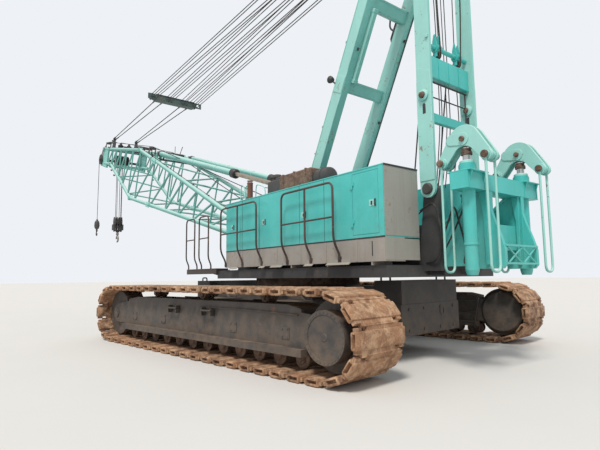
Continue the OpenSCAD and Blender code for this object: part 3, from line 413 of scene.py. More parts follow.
def deselect():
    bpy.ops.object.select_all(action="DESELECT")


def only(part):
    """Select one part alone and make it the active one."""
    deselect()
    part.select_set(True)
    bpy.context.view_layer.objects.active = part


def removed(part):
    """Take away a part that was only a help."""
    only(part)
    bpy.ops.object.delete()


def apply_place():
    """Hold the active part's place, turn and size in its mesh."""
    bpy.ops.object.transform_apply(location=True, rotation=True, scale=True)


def select_mesh():
    bpy.ops.mesh.select_all(action="SELECT")


def pull(way):
    """Pull out what is selected of the mesh."""
    bpy.ops.mesh.extrude_region_move(TRANSFORM_OT_translate={"value": way})


def settle():
    """Leave edit mode with normals outward and the place held in the mesh."""
    select_mesh()
    bpy.ops.mesh.normals_make_consistent(inside=False)
    bpy.ops.object.mode_set(mode="OBJECT")
    apply_place()
    return bpy.context.object


def rod(start, end, radius, sides=8, base=GROUND):
    """Round bar: a disc at one end, extruded to the other."""
    start, end = base @ Vector(start), base @ Vector(end)
    along = end - start
    deselect()
    bpy.ops.mesh.primitive_circle_add(vertices=sides, radius=radius, fill_type="NGON", location=start,
            rotation=along.to_track_quat("Z", "Y").to_euler())
    bpy.ops.object.mode_set(mode="EDIT")
    select_mesh()
    pull(along)
    return settle()


def joined(name, parts, finish, smooth=35):
    """One piece of several parts, with one finish."""
    deselect()
    for part in parts:
        part.select_set(True)
    bpy.context.view_layer.objects.active = parts[0]
    if len(parts) > 1:
        bpy.ops.object.join()
    whole = bpy.context.object
    whole.name = whole.data.name = name
    bpy.ops.object.shade_smooth_by_angle(angle=math.radians(smooth))
    whole.data.materials.clear()
    whole.data.materials.append(MATERIALS[finish])
    return whole


def pick(kind, test):
    """Select the faces or the edges that a test accepts."""
    bpy.ops.mesh.select_mode(type=kind)
    bpy.ops.mesh.select_all(action="DESELECT")
    mesh = bmesh.from_edit_mesh(bpy.context.object.data)
    if kind == "FACE":
        for face in mesh.faces:
            if test(face.calc_center_median(), face.normal):
                face.select_set(True)
    else:
        for edge in mesh.edges:
            if test(edge.verts[0].co, edge.verts[1].co):
                edge.select_set(True)
    mesh.select_flush(True)
    bmesh.update_edit_mesh(bpy.context.object.data)


def drawn(points):
    """Draw a line of vertices through the points and stay in edit mode."""
    points = [Vector(point) for point in points]
    deselect()
    bpy.ops.mesh.primitive_plane_add(size=0.01, location=points[0])
    bpy.ops.object.mode_set(mode="EDIT")
    bpy.ops.mesh.select_mode(type="VERT")
    select_mesh()
    bpy.ops.mesh.merge(type="CENTER")
    for start, end in zip(points, points[1:]):
        pull(end - start)
    select_mesh()


def plate(outline, depth, edge=0.0):
    """Plate: an outline drawn, filled and pulled out by the depth."""
    drawn(outline)
    bpy.ops.mesh.edge_face_add()
    pull(Vector(depth))
    if edge:
        select_mesh()
        bpy.ops.mesh.bevel(offset=edge, segments=1, affect="EDGES")
    return settle()


def side_plate(outline, start, end, edge=0.0):
    """Plate with its outline in x and z, between two places across, in either order."""
    low, high = sorted((start, end))
    return plate([(x, low, z) for x, z in outline], (0, high - low, 0), edge)


def cube(low, high):
    """Plain box between two corners, left in edit mode."""
    deselect()
    bpy.ops.mesh.primitive_cube_add(size=1, location=(low + high) / 2, scale=high - low)
    apply_place()
    bpy.ops.object.mode_set(mode="EDIT")


def block(corner, other, edge=0.005):
    """Box between two opposite corners, in either order, with its edges broken."""
    cube(*(Vector(tuple(map(choose, corner, other))) for choose in (min, max)))
    select_mesh()
    bpy.ops.mesh.bevel(offset=edge, segments=1, affect="EDGES")
    return settle()


def rounded(points, bend, steps=4):
    """The points of a line with its corners rounded."""
    points = [Vector(point) for point in points]
    path = [points[0]]
    for before, corner, after in zip(points, points[1:], points[2:]):
        back, on = before - corner, after - corner
        start = corner + back.normalized() * min(bend, back.length * 0.49)
        end = corner + on.normalized() * min(bend, on.length * 0.49)
        for k in range(steps + 1):
            path.append(start.lerp(corner, k / steps).lerp(corner.lerp(end, k / steps), k / steps))
    return path + [points[-1]]


def pipe(points, radius, bend=0.0, sides=8):
    """Bent round bar: a drawn line made a curve, thickened and made a mesh again."""
    drawn(rounded(points, bend) if bend else points)
    bpy.ops.object.mode_set(mode="OBJECT")
    apply_place()
    bpy.ops.object.convert(target="CURVE")
    curve = bpy.context.object.data
    curve.bevel_depth = radius
    curve.bevel_resolution = (sides - 4) // 2
    curve.use_fill_caps = True
    bpy.ops.object.convert(target="MESH")
    bpy.ops.object.mode_set(mode="EDIT")
    return settle()


ALONG = {"X": Vector((1, 0, 0)), "Y": Vector((0, 1, 0)), "Z": Vector((0, 0, 1))}
ACROSS = {"X": Vector((0, 0, 1)), "Y": Vector((0, 0, 1)), "Z": Vector((1, 0, 0))}


def turned(profile, centre, axis="Y", steps=24):
    """Turned part: a profile of radii and places along the axis, spun about it."""
    centre = Vector(centre)
    drawn([centre + ACROSS[axis] * radius + ALONG[axis] * place for radius, place in profile])
    bpy.ops.mesh.spin(steps=steps, angle=math.tau, center=centre, axis=ALONG[axis])
    select_mesh()
    bpy.ops.mesh.remove_doubles(threshold=0.0004)
    return settle()


def band(inner, outer, low, high):
    """Profile of a ring for a turned part, closed."""
    return [(inner, low), (outer, low), (outer, high), (inner, high), (inner, low)]


def pin_head(radius, rim, crown, height, way=1):
    """Profile of a pin's head that stands out one way along the axis, with its rim broken."""
    return [(0, 0), (radius, 0), (radius, way * rim), (crown, way * height), (0, way * height)]


def both_ways(half):
    """A profile and its mirror image across the middle of the part."""
    return [(radius, -place) for radius, place in half] + [pair for pair in reversed(half)]


def bored(part, tool):
    """A part with a tool's shape cut out of it."""
    only(part)
    bpy.ops.object.modifier_add(type="BOOLEAN")
    cut = part.modifiers[-1]
    cut.operation = "DIFFERENCE"
    cut.object = tool
    bpy.ops.object.modifier_apply(modifier=cut.name)
    removed(tool)
    return part


def copied(part, places):
    """Copies of a part, each with its own mesh, at the places that matrices give."""
    parts = []
    for place in places:
        only(part)
        bpy.ops.object.duplicate()
        copy = bpy.context.object
        copy.matrix_world = place
        parts.append(copy)
    removed(part)
    return parts


def moves(places):
    return [Matrix.Translation(place) for place in places]


def placed(part, base):
    """A part turned and moved into a frame, with its place in its mesh."""
    only(part)
    part.matrix_world = base @ part.matrix_world
    apply_place()
    return part


def piece(name, parts, finish, base=GROUND, body="lower", smooth=35, instead=()):
    """A finished piece: parts joined, placed in a frame, finished and put on a body."""
    whole = placed(joined(name, parts, finish, smooth), base)
    if body:
        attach(whole, body)
    if instead:
        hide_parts(*instead)
    return whole


def upper_piece(name, parts, finish, body="upper", instead=()):
    """A finished piece modelled in the upper machine's frame."""
    return piece(name, parts, finish, SLEW, body, instead=instead)


def on_boom(s, y, h):
    """A place given along, across and above the boom, in the upper machine's frame."""
    return SLEW.inverted() @ BOOM @ Vector((s, y, h))


def ring_places(centre, radius, count, axis="Y", turn=0.0):
    """Places evenly round a circle about an axis."""
    first = ACROSS[axis] * radius
    return [Vector(centre) + Matrix.Rotation(turn + math.tau * k / count, 3, axis) @ first
            for k in range(count)]


def bolts(places, length=0.014, radius=0.014, axis="Y"):
    """Hexagon bolt heads, centred on their places."""
    head = rod(-ALONG[axis] * length / 2, ALONG[axis] * length / 2, radius, 6)
    return copied(head, moves(places))


# ---- Operators ----

class CRANE_OT_cad_finishes(bpy.types.Operator):
    """Give each CAD node its finish"""
    bl_idname = "crane.cad_finishes"
    bl_label = "CAD finishes"

    def execute(self, context):
        make_materials(context.scene.crane_paint)
        for finish, nodes in NODE_FINISH.items():
            for name in nodes:
                node = NODES[name]
                node.data.materials.clear()
                node.data.materials.append(MATERIALS[finish])
        left = set(NODES) - {n for names in NODE_FINISH.values() for n in names}
        if left:
            raise RuntimeError(f"nodes without a finish: {sorted(left)}")
        return {"FINISHED"}


class CRANE_OT_hoist_ropes(bpy.types.Operator):
    """Reeve the boom hoist ropes between the gantry head and the bridle"""
    bl_idname = "crane.hoist_ropes"
    bl_label = "Boom hoist ropes"

    def execute(self, context):
        radius = context.scene.crane_rigging.rope_radius
        ropes = []
        x, z = ROPE_REEVE
        for across, eye in zip(HEAD_ROPES, BRIDLE_ROPES):
            for side, rise in ((-1, -0.165), (1, 0.265)):
                head = (HEAD_SHAFT[0] + 0.02, across, HEAD_SHAFT[1] + rise)
                ropes.append(rod(head, (x, eye + 0.02 * side, z + side * 0.09), radius, 8, SLEW))
        whole = joined("boom_hoist_ropes", ropes, "rope", 80)
        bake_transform(whole)
        return {"FINISHED"}


def track_shoe():
    """One cast shoe: a rounded body, hinge lugs on both edges and hollow, chamfered ends."""
    half, body = SHOE_WIDTH / 2, 0.125
    cube(Vector((-body, -half, -0.047)), Vector((body, half, 0.07)))
    pick("EDGE", lambda a, b: abs(a.y - b.y) > 0.5)
    bpy.ops.mesh.bevel(offset=0.03, segments=2, affect="EDGES")
    for k in range(LUG_BANDS + 1):
        select_mesh()
        bpy.ops.mesh.bisect(plane_co=(0, (k - LUG_BANDS / 2) * LUG_WIDTH, 0), plane_no=(0, 1, 0))
    reach = LUG_BANDS / 2 * LUG_WIDTH
    for side in (1, -1):
        pick("FACE", lambda c, n: n.x * side > 0.95 and abs(c.y) < reach
                and int((c.y + reach) / LUG_WIDTH) % 2 == (side < 0))
        pull((side * 0.088, 0, 0))
        pick("FACE", lambda c, n: n.x * side > 0.95 and abs(c.y) > reach)
        pull((side * 0.043, 0, 0))
    pick("EDGE", lambda a, b: min(abs(a.y), abs(b.y)) > half - 0.001 and abs(a.x - b.x) < 0.001
            and abs(a.x) > body + 0.02)
    bpy.ops.mesh.bevel(offset=0.05, segments=2, affect="EDGES")
    for side in (1, -1):
        pick("FACE", lambda c, n: n.y * side > 0.95 and c.y * side > half - 0.002)
        bpy.ops.mesh.inset(thickness=0.017, depth=-0.07)
    return settle()


def shoe_places(across):
    """Where each shoe lies: a matrix for each link between two hinges of the loop."""
    run, arc = 2 * TUMBLER_X, math.pi * HINGE_RADIUS
    pitch = 2 * (run + arc) / SHOES

    def hinge(number):
        s = number * pitch % (2 * (run + arc))
        end, rest = divmod(s, run + arc)
        side = 1 - 2 * end
        if rest < run:
            return Vector((side * (rest - TUMBLER_X), 0, -side * HINGE_RADIUS))
        turn = math.pi * (rest - run) / arc
        return side * Vector((TUMBLER_X + HINGE_RADIUS * math.sin(turn), 0, -HINGE_RADIUS * math.cos(turn)))

    places = []
    for number in range(SHOES):
        start, end = hinge(number), hinge(number + 1)
        along = (end - start).normalized()
        out = Vector((along.z, 0, -along.x))
        turn = Matrix((along, out.cross(along), out)).transposed().to_4x4()
        slack = Matrix.Rotation(math.radians(random.uniform(-0.8, 0.8)), 4, "Y")
        middle = (start + end) / 2 + Vector((0, across + random.uniform(-0.006, 0.006), TRACK_RADIUS))
        places.append(Matrix.Translation(middle) @ turn @ slack)
    return places


class CRANE_OT_tracks(bpy.types.Operator):
    """Model one track shoe and lay both tracks with copies of it"""
    bl_idname = "crane.tracks"
    bl_label = "Tracks"

    def execute(self, context):
        for side, name in ((1, "left"), (-1, "right")):
            shoes = copied(track_shoe(), shoe_places(side * CRAWLER_Y))
            piece(f"track_shoes_{name}", shoes, "track", smooth=30, instead=(f"track_{name}",))
        return {"FINISHED"}


class CRANE_OT_crawler_fittings(bpy.types.Operator):
    """Turn the track rollers and fit the bolts, covers, steps and ladder of the crawlers"""
    bl_idname = "crane.crawler_fittings"
    bl_label = "Crawler fittings"

    def execute(self, context):
        flanged = [(0, 0.2), (0.06, 0.2), (0.075, 0.185), (0.075, 0.17), (0.15, 0.165), (0.15, 0.14),
                (0.125, 0.13)]
        roller = turned(both_ways(flanged), (0, 0, 0), "Y", 20)
        places = [(-ROLLER_END + 2 * ROLLER_END * k / (ROLLERS - 1), side * CRAWLER_Y, 0.2653)
                for side in (1, -1) for k in range(ROLLERS)]
        rollers = copied(roller, moves(places))
        grooved = [(0, 0.16), (0.05, 0.16), (0.05, 0.12), (0.092, 0.115), (0.092, 0.06), (0.075, 0.05)]
        carrier = turned(both_ways(grooved), (0, 0, 0), "Y", 20)
        rollers += copied(carrier, moves([(x, side * CRAWLER_Y, 1.175) for side in (1, -1)
                for x in (-1.9, 0, 1.9)]))
        piece("flanged_rollers", rollers, "roller", instead=("track_rollers",))

        fittings = []
        for side in (1, -1):
            face = side * (CRAWLER_Y + 0.49)
            fittings += bolts(ring_places((-TUMBLER_X, face - side * 0.004, TRACK_RADIUS), 0.345, 30),
                    0.024, 0.014)
            fittings.append(turned([(0, 0), (0.06, 0), (0.045, side * 0.012), (0, side * 0.012)],
                    (-TUMBLER_X, face - side * 0.012, TRACK_RADIUS), "Y", 20))
            fittings += bolts(ring_places((TUMBLER_X, side * (CRAWLER_Y + 0.3), TRACK_RADIUS), 0.075, 6),
                    0.02, 0.016)
            outer = side * (CRAWLER_Y + FRAME_HALF)
            for x in (-2.6, -1.25, 1.25, 2.6):
                fittings.append(block((x - 0.09, outer, 0.55), (x + 0.09, outer + side * 0.012, 0.73),
                        0.003))
                fittings += bolts([(x + dx, outer + side * 0.018, z) for dx in (-0.06, 0.06)
                        for z in (0.58, 0.70)], 0.014, 0.012)
            fittings.append(pipe([(-2.9, outer + side * 0.02, 0.93), (-1.6, outer + side * 0.02, 0.96),
                    (-0.2, outer + side * 0.02, 0.95)], 0.012, 0.2, 6))
        piece("frame_bolts", fittings, "frame")

        steps = []
        for side in (1, -1):
            outer = side * (CRAWLER_Y + FRAME_HALF)
            for x in FRAME_STEPS:
                loop = ((-0.15, 0), (-0.15, 0.12), (0.15, 0.12), (0.15, 0))
                steps.append(pipe([(x + dx, outer + side * out, 0.9) for dx, out in loop], 0.017, 0.04))
                for dx in (-0.15, 0.15):
                    steps.append(side_plate([(x + dx - 0.012, 0.8), (x + dx + 0.012, 0.8),
                            (x + dx + 0.012, 0.95), (x + dx - 0.012, 0.95)], outer, outer + side * 0.1))
        piece("frame_step_bars", steps, "black", instead=("frame_steps",))

        inner = -(CRAWLER_Y - FRAME_HALF) + 0.03
        ladder = []
        for x in (-3.05, -2.45):
            ladder.append(pipe([(x - 0.06, inner + 0.06, 1.0), (x + 0.06, inner + 0.1, 0.3)], 0.02))
        for z in (0.9, 0.65, 0.4):
            ladder.append(rod((-3.05 + 0.06 * (0.9 - z) * 2 - 0.05, inner + 0.08, z),
                    (-2.45 + 0.06 * (0.9 - z) * 2 - 0.05, inner + 0.08, z), 0.014))
        for x in (-3.11, -2.51):
            ladder.append(rod((x, inner + 0.06, 1.0), (x, inner - 0.03, 1.0), 0.016))
        piece("crawler_ladder", ladder, "black")
        return {"FINISHED"}


class CRANE_OT_body_fittings(bpy.types.Operator):
    """Fit the bolts, lifting eyes, ribs and drive discs of the car body and its weights"""
    bl_idname = "crane.body_fittings"
    bl_label = "Car body fittings"

    def execute(self, context):
        parts = bolts(ring_places((0, 0, 1.345), 1.225, 40, "Z"), 0.05, 0.02, "Z")
        for end in (1, -1):
            for side in (1, -1):
                eye = (end * (WEIGHT_X - 0.3), side * 1.052, 0.86)
                parts.append(turned(band(0.05, 0.075, -0.012, 0.02), eye, "Y", 20))
                loop = ((0.45, 1.42), (0.45, 1.5), (0.25, 1.5), (0.25, 1.42))
                parts.append(pipe([(end * (WEIGHT_X - x), side * 1.0, z) for x, z in loop], 0.018, 0.05))
            for x in (-0.8, -0.3, 0.3, 0.8):
                parts += bolts([(end * (WEIGHT_X + 0.006), x, z) for z in (0.9, 0.52)], 0.02, 0.03, "X")
            for side in (1, -1):
                parts.append(side_plate([(end * 1.0, 1.05), (end * 1.5, 1.05), (end * 1.25, 1.22)],
                        side * WEIGHT_SIDE - 0.02, side * WEIGHT_SIDE + 0.02, 0.004))
                for y in (side * 1.45, side * 2.45):
                    parts.append(block((end * 1.25 - 0.3, y - 0.02, 1.035),
                            (end * 1.25 + 0.3, y + 0.02, 1.09)))
        parts.append(turned(band(0.06, 0.09, -0.012, 0.014), (-WEIGHT_X, -0.37, 0.83), "X", 20))
        for side in (1, -1):
            inner = side * (CRAWLER_Y - FRAME_HALF)
            parts.append(turned([(0, 0), (0.46, 0), (0.46, -side * 0.02), (0.42, -side * 0.05),
                    (0, -side * 0.05)], (-TUMBLER_X, inner, TRACK_RADIUS), "Y", 32))
        piece("car_body_bolts", parts, "frame")
        return {"FINISHED"}


class CRANE_OT_guard_rails(bpy.types.Operator):
    """Bend the guard rails beside the house, on the front walkway and on the roof"""
    bl_idname = "crane.guard_rails"
    bl_label = "Guard rails"

    def execute(self, context):
        rails = []
        for rear, front, posts in ((-2.93, -1.37, (-2.13,)), (-0.42, 1.2, (0.4,))):
            def leg(x):
                return [(x, RAIL_FOOT, 1.79), (x, RAIL_FOOT, 1.9), (x, RAIL_OUT, 2.12)]
            top = [(rear, RAIL_OUT, RAIL_TOP), (front, RAIL_OUT, RAIL_TOP)]
            rails.append(pipe(leg(rear) + top + leg(front)[::-1], 0.021, 0.14))
            for x in posts:
                rails.append(pipe(leg(x) + [(x, RAIL_OUT, RAIL_TOP)], 0.02, 0.14))
            rails.append(rod((rear, RAIL_OUT, RAIL_MIDDLE), (front, RAIL_OUT, RAIL_MIDDLE), 0.017))
            for x in (rear, front, *posts):
                rails.append(block((x - 0.045, 1.6005, 1.75), (x + 0.045, 1.612, 1.85), 0.002))
                rails += bolts([(x - 0.03, 1.617, 1.8), (x + 0.03, 1.617, 1.8)], 0.012, 0.009)
        rails.append(block((-2.15, 1.735, 2.6), (-2.11, 1.765, 2.74), 0.004))
        upper_piece("guard_hoops", rails, "rail", instead=("guard_rails",))

        walk = [block((1.72, 1.25, 1.70), (3.5, 1.6, 1.74), 0.004),
                block((1.72, 1.55, 1.60), (3.5, 1.6, 1.70), 0.004),
                side_plate([(1.6, 1.5), (1.75, 1.5), (2.9, 1.66), (2.9, 1.7), (1.6, 1.7)], 1.27, 1.29)]
        for rear, front in ((2.05, 2.6), (2.88, 3.42)):
            rise = ((WALK_IN, 1.72), (WALK_IN, 1.85), (WALK_OUT, 2.0), (WALK_OUT, 3.12))
            hoop = [(rear, y, z) for y, z in rise] + [(front, y, z) for y, z in rise[::-1]]
            walk.append(pipe(hoop, 0.02, 0.12))
            walk.append(rod((rear, WALK_OUT, RAIL_MIDDLE), (front, WALK_OUT, RAIL_MIDDLE), 0.016))
        upper_piece("front_walkway", walk, "rail")

        roof = []
        for rear, front, top, inner in ((0.94, 1.15, 3.86, 1.06), (0.02, 0.45, 3.74, 0.85)):
            for y in (1.2, inner):
                roof.append(pipe([(rear, y, 3.3), (rear + 0.06, y, top - 0.12), (front, y, top),
                        (front + 0.04, y, 3.3)], 0.014, 0.1))
            roof.append(rod((rear + 0.06, inner, top - 0.14), (rear + 0.06, 1.2, top - 0.14), 0.012))
        upper_piece("roof_rails", roof, "light")
        return {"FINISHED"}


class CRANE_OT_house_fittings(bpy.types.Operator):
    """Fit the latches, sills, rear panels and roof edges of the houses, and their skirt sheets"""
    bl_idname = "crane.house_fittings"
    bl_label = "House fittings"

    def execute(self, context):
        pale, dark, sills, sheets = [], [], [], []
        for side in (1, -1):
            face = side * HOUSE_Y
            front = 1.19 if side > 0 else 0.84
            latches = (-1.925, -0.506, 0.862) if side > 0 else (-0.3, 0.62)
            for x in latches:
                pale.append(block((x - 0.03, face, 2.64), (x + 0.075, face + side * 0.006, 2.75), 0.002))
                dark.append(block((x - 0.062, face, 2.635), (x - 0.036, face + side * 0.016, 2.755), 0.003))
                dark.append(block((x, face, 2.665), (x + 0.03, face + side * 0.016, 2.725), 0.003))
            sills.append(block((-3.985, face - side * 0.01, 2.118),
                    (front + 0.002, face + side * 0.005, 2.142), 0.002))
            sheets.append(block((-3.99, face - side * 0.03, 3.286),
                    (front + 0.005, face + side * 0.008, 3.306), 0.003))
            sheets.append(block((-3.982, face, 2.145), (-3.885, face + side * 0.004, 3.285), 0.002))
            dark.append(block((-3.995, side * 0.745, 3.283), (-3.93, side * 1.595, 3.312), 0.004))
        upper_piece("latch_plates", pale, "light")
        upper_piece("panel_edges", sheets, "teal")
        upper_piece("sill_strips", sills + dark, "black")

        rear = []
        for side in (1, -1):
            rear.append(block((-3.986, side * 0.75, 2.15), (-3.9803, side * 1.59, 3.283), 0.002))
            rear += bolts([(-3.988, side * y, z) for y in (0.8, 1.54) for z in (2.25, 2.72, 3.2)], 0.01,
                    0.012, "X")
            rear.append(block((-3.986, side * 0.75, 1.76), (-3.9803, side * 1.59, 2.11), 0.002))
            face = side * SKIRT_FACE
            for start, end in ((0.62, 0.95), (-0.55, -0.35), (-1.2, -0.8), (-2.2, -1.95), (-3.2, -2.6)):
                rear.append(plate([(start, face, 1.8), (start, face, 1.735),
                        (start, face + side * 0.05, 1.7), (start, face + side * 0.058, 1.705),
                        (start, face + side * 0.008, 1.745), (start, face + side * 0.008, 1.8)],
                        (end - start, 0, 0)))
            for x in (-3.35, -2.55, -1.8, -1.0, -0.3, 0.42):
                rear.append(block((x - 0.018, face, 1.75), (x + 0.018, face + side * 0.007, 2.115), 0.002))
        upper_piece("skirt_sheets", rear, "beige")
        # A thin black strip on the skirt stands for a slot: its dark is painted shade in the opening.
        slot = block((-3.72, SKIRT_FACE, 1.83), (-3.70, 1.606, 2.07), 0.002)
        upper_piece("skirt_slot_shade", [slot], "black")

        for node, side, hinge_x, width in (("left_rear_door", 1, -3.27, 0.6),
                ("right_front_door", -1, -1.0, 0.9), ("right_rear_door", -1, -2.0, 0.9)):
            face = side * HOUSE_Y
            x = hinge_x - width + 0.1
            plates = [block((x, face, 2.64), (x + 0.105, face + side * 0.006, 2.75), 0.002)]
            lever = [block((x - 0.045, face, 2.635), (x - 0.018, face + side * 0.018, 2.755), 0.003),
                    block((x + 0.03, face, 2.665), (x + 0.06, face + side * 0.018, 2.725), 0.003)]
            upper_piece(f"{node}_latch", lever, "black", node)
            upper_piece(f"{node}_latch_plate", plates, "light", node)
        return {"FINISHED"}


def sheave(centre, radius, width, hub, steps=32):
    """Grooved rope sheave with a dished web."""
    half, web = width / 2, width * 0.2
    face = [(hub, half), (hub * 1.7, half), (hub * 1.9, web), (radius * 0.8, web),
            (radius * 0.86, half * 0.9), (radius - 0.004, half), (radius, half * 0.8),
            (radius - 0.022, half * 0.28), (radius - 0.028, 0)]
    back = [(r, -place) for r, place in reversed(face[:-1])]
    return turned(face + back + [face[0]], centre, "Y", steps)


class CRANE_OT_sheaves(bpy.types.Operator):
    """Turn the grooved sheaves of the gantry and the boom head, and build the posts of the idlers"""
    bl_idname = "crane.sheaves"
    bl_label = "Sheaves"

    def execute(self, context):
        x, z = HEAD_SHAFT
        parts = [sheave((x, y, z), 0.28, 0.065, 0.058) for y in HEAD_ROPES]
        parts.append(rod((x, -0.66, z), (x, 0.66, z), 0.055, 24))
        for side in (1, -1):
            parts.append(turned(pin_head(0.085, 0.03, 0.03, 0.045, side), (x, side * 0.64, z), "Y", 20))
        upper_piece("gantry_head_sheaves", parts, "steel", "gantry_sheaves", instead=("gantry_sheaves",))

        s, h = BOOM_SHEAVE
        parts = [sheave((s, k * 0.13, h), 0.33, 0.075, 0.062) for k in range(-2, 3)]
        parts.append(sheave((s, AUX_Y, h), 0.25, 0.055, 0.062))
        parts.append(rod((s, -0.99, h), (s, 1.1, h), 0.06, 24))
        for y in (-0.985, 1.095):
            parts += [rod((s, y - 0.015, h), (s, y + 0.015, h), 0.09, 6)]
        piece("boom_head_sheaves", parts, "dull", BOOM, "head_sheaves", instead=("head_sheaves",))

        posts = []
        for side in (1, -1):
            posts.append(side_plate([(14.748, 0.58), (15.302, 0.58), (15.302, 0.6), (15.156, 1.14),
                    (15.14, 1.173), (14.96, 1.173), (14.944, 1.14), (14.748, 0.6)], side * POST_Y - 0.0222,
                    side * POST_Y + 0.0222, 0.001))
        posts.append(rod((15.05, -0.34, 0.77), (15.05, 0.34, 0.77), 0.032, 16))
        for y in (-0.205, 0.205):
            posts.append(sheave((15.05, y, 0.77), 0.172, 0.055, 0.034))
        for y in (-0.3, -0.12, 0.12, 0.3):
            posts.append(side_plate([(14.96, 0.57), (15.14, 0.57), (15.1, 0.84), (15.0, 0.84)], y - 0.008,
                    y + 0.008))
        piece("anchor_posts", posts, "frame", BOOM, "boom")
        return {"FINISHED"}


class CRANE_OT_gantry_fittings(bpy.types.Operator):
    """Fit the pins, seams and lamp of the gantry, and build the rope guide between its rear legs"""
    bl_idname = "crane.gantry_fittings"
    bl_label = "Gantry fittings"

    def execute(self, context):
        dark = []
        for side in (1, -1):
            outer = side * MAST_SIDE
            dark.append(turned(pin_head(0.07, 0.02, 0.05, 0.045, side), (0, outer, 0), "Y", 20))
            dark.append(block((-0.015, outer, 0.08), (0.015, outer + side * 0.05, 0.13)))
        lean = [(0.155, 0.66, 0.3), (0.17, 0.66, 1.4), (0.16, 0.66, 3.6), (0.17, 0.66, 5.2),
                (0.16, 0.66, 7.1)]
        dark.append(pipe(lean, 0.011, 0.2, 6))
        dark.append(pipe([(-0.16, -0.66, 0.4), (-0.17, -0.66, 3.0), (-0.16, -0.66, 6.9)], 0.011, 0.2, 6))
        for z in (1.0, 2.6, 4.4, 6.0):
            dark.append(block((0.15, 0.635, z), (0.185, 0.685, z + 0.05), 0.003))
        dark.append(rod((0.12, 0.69, 3.56), (0.19, 0.76, 3.61), 0.016))
        lamp = turned([(0, -0.07), (0.05, -0.06), (0.075, 0), (0.08, 0.03), (0.07, 0.035), (0, 0.03)],
                (0.22, 0.77, 3.62), "X", 16)
        dark.append(lamp)
        for z in (1.95, 2.2):
            dark.append(side_plate([(0.15, z), (0.22, z + 0.03), (0.22, z + 0.1), (0.15, z + 0.14)], 0.58,
                    0.6))
        dark.append(rod((0.2, 0.54, 2.02), (0.2, 0.66, 2.02), 0.02))
        dark.append(pipe([(0.15, -0.56, 5.0), (0.3, -0.5, 5.05), (0.34, -0.44, 5.35), (0.26, -0.42, 5.5)],
                0.02, 0.08))
        dark.append(side_plate([(0.15, 4.7), (0.26, 4.85), (0.26, 5.2), (0.15, 5.5)], -0.6, -0.57))
        dark.append(block((0.24, -0.62, 5.22), (0.36, -0.5, 5.32)))
        for k, z in enumerate((0.9, 1.6, 3.0, 4.3, 4.8, 5.9, 6.6)):
            side = 1 if k % 2 else -1
            dark.append(block((-0.19, side * 0.6 - 0.012, z), (-0.145, side * 0.6 + 0.012, z + 0.06),
                    0.003))
        piece("gantry_leg_fittings", dark, "frame", MAST, "upper")

        seams = []
        for side in (1, -1):
            outer = side * 0.6955
            for start, end in ((0.16, 3.2), (3.9, 7.1)):
                seams += [block((x, outer, start), (x + 0.02, outer + side * 0.006, end), 0.002)
                        for x in (-0.145, 0.125)]
            seams.append(block((-0.14, outer, 3.4), (0.14, outer + side * 0.01, 3.75), 0.004))
        for z in (3.45, 5.15):
            for back in (-0.098, 0.09):
                seams += [block((back, -0.52, z + up), (back + 0.008, 0.52, z + up + 0.02), 0.002)
                        for up in (0.02, 0.22)]
        seams += [block((-0.228, 0.40, z), (-0.112, 0.52, z + 0.08), 0.006) for z in (3.66, 5.08)]
        seams.append(block((-0.22, 0.41, 3.73), (-0.12, 0.51, 5.145), 0.008))
        piece("gantry_leg_edges", seams, "light", MAST, "upper")

        pale, rust_and_sunlit, black = [], [], []
        for side in (1, -1):
            outer = side * 0.6725
            pale.append(side_plate([(-4.29, 3.1), (-3.99, 3.1), (-3.99, 4.85), (-4.04, 5.12), (-4.29, 5.0)],
                    outer, outer + side * 0.012, 0.003))
            pale.append(turned([(0.1, 0), (0.1, side * 0.03), (0.062, side * 0.045), (0.062, 0), (0.1, 0)],
                    (REAR_LEG_X, outer + side * 0.012, REAR_LEG_PIN), "Y", 24))
            rust_and_sunlit.append(turned([(0, side * 0.05), (0.05, side * 0.05), (0.05, side * 0.085),
                    (0.03, side * 0.1), (0, side * 0.1)], (REAR_LEG_X, outer, REAR_LEG_PIN), "Y", 20))
            black.append(turned(pin_head(0.1, 0.03, 0.08, 0.055, side), (REAR_LEG_X, outer, 2.96), "Y", 24))
            black.append(turned([(0, 0), (0.07, 0), (0.07, side * 0.03), (0, side * 0.04)],
                    (REAR_LEG_X, outer, 8.99), "Y", 24))
            black.append(side_plate([(-4.17, 4.27), (-4.11, 4.27), (-4.11, 4.43), (REAR_LEG_X, 4.46),
                    (-4.17, 4.43)], outer + side * 0.0121, outer + side * 0.015))
            pale += [block((-4.27, outer, z), (-4.22, outer + side * 0.03, z + rise))
                    for z, rise in ((6.9, 0.1), (5.6, 0.06))]
        pale.append(turned([(0.105, 0), (0.105, 0.03), (0.06, 0.045), (0.06, 0), (0.105, 0)],
                (REAR_LEG_X, REAR_LEG_INNER, REAR_LEG_PIN), "Y", 24))
        rust_and_sunlit.append(turned([(0, 0.03), (0.05, 0.03), (0.05, 0.07), (0.03, 0.08), (0, 0.08)],
                (REAR_LEG_X, REAR_LEG_INNER, REAR_LEG_PIN), "Y", 20))
        black.append(block((-4.17, -0.6214, 4.27), (-4.11, -0.6185, 4.45), 0.0005))
        upper_piece("rear_leg_plates", pale, "light")
        upper_piece("gantry_pin_heads", rust_and_sunlit, "rust")
        upper_piece("gantry_foot_pins", black, "frame")

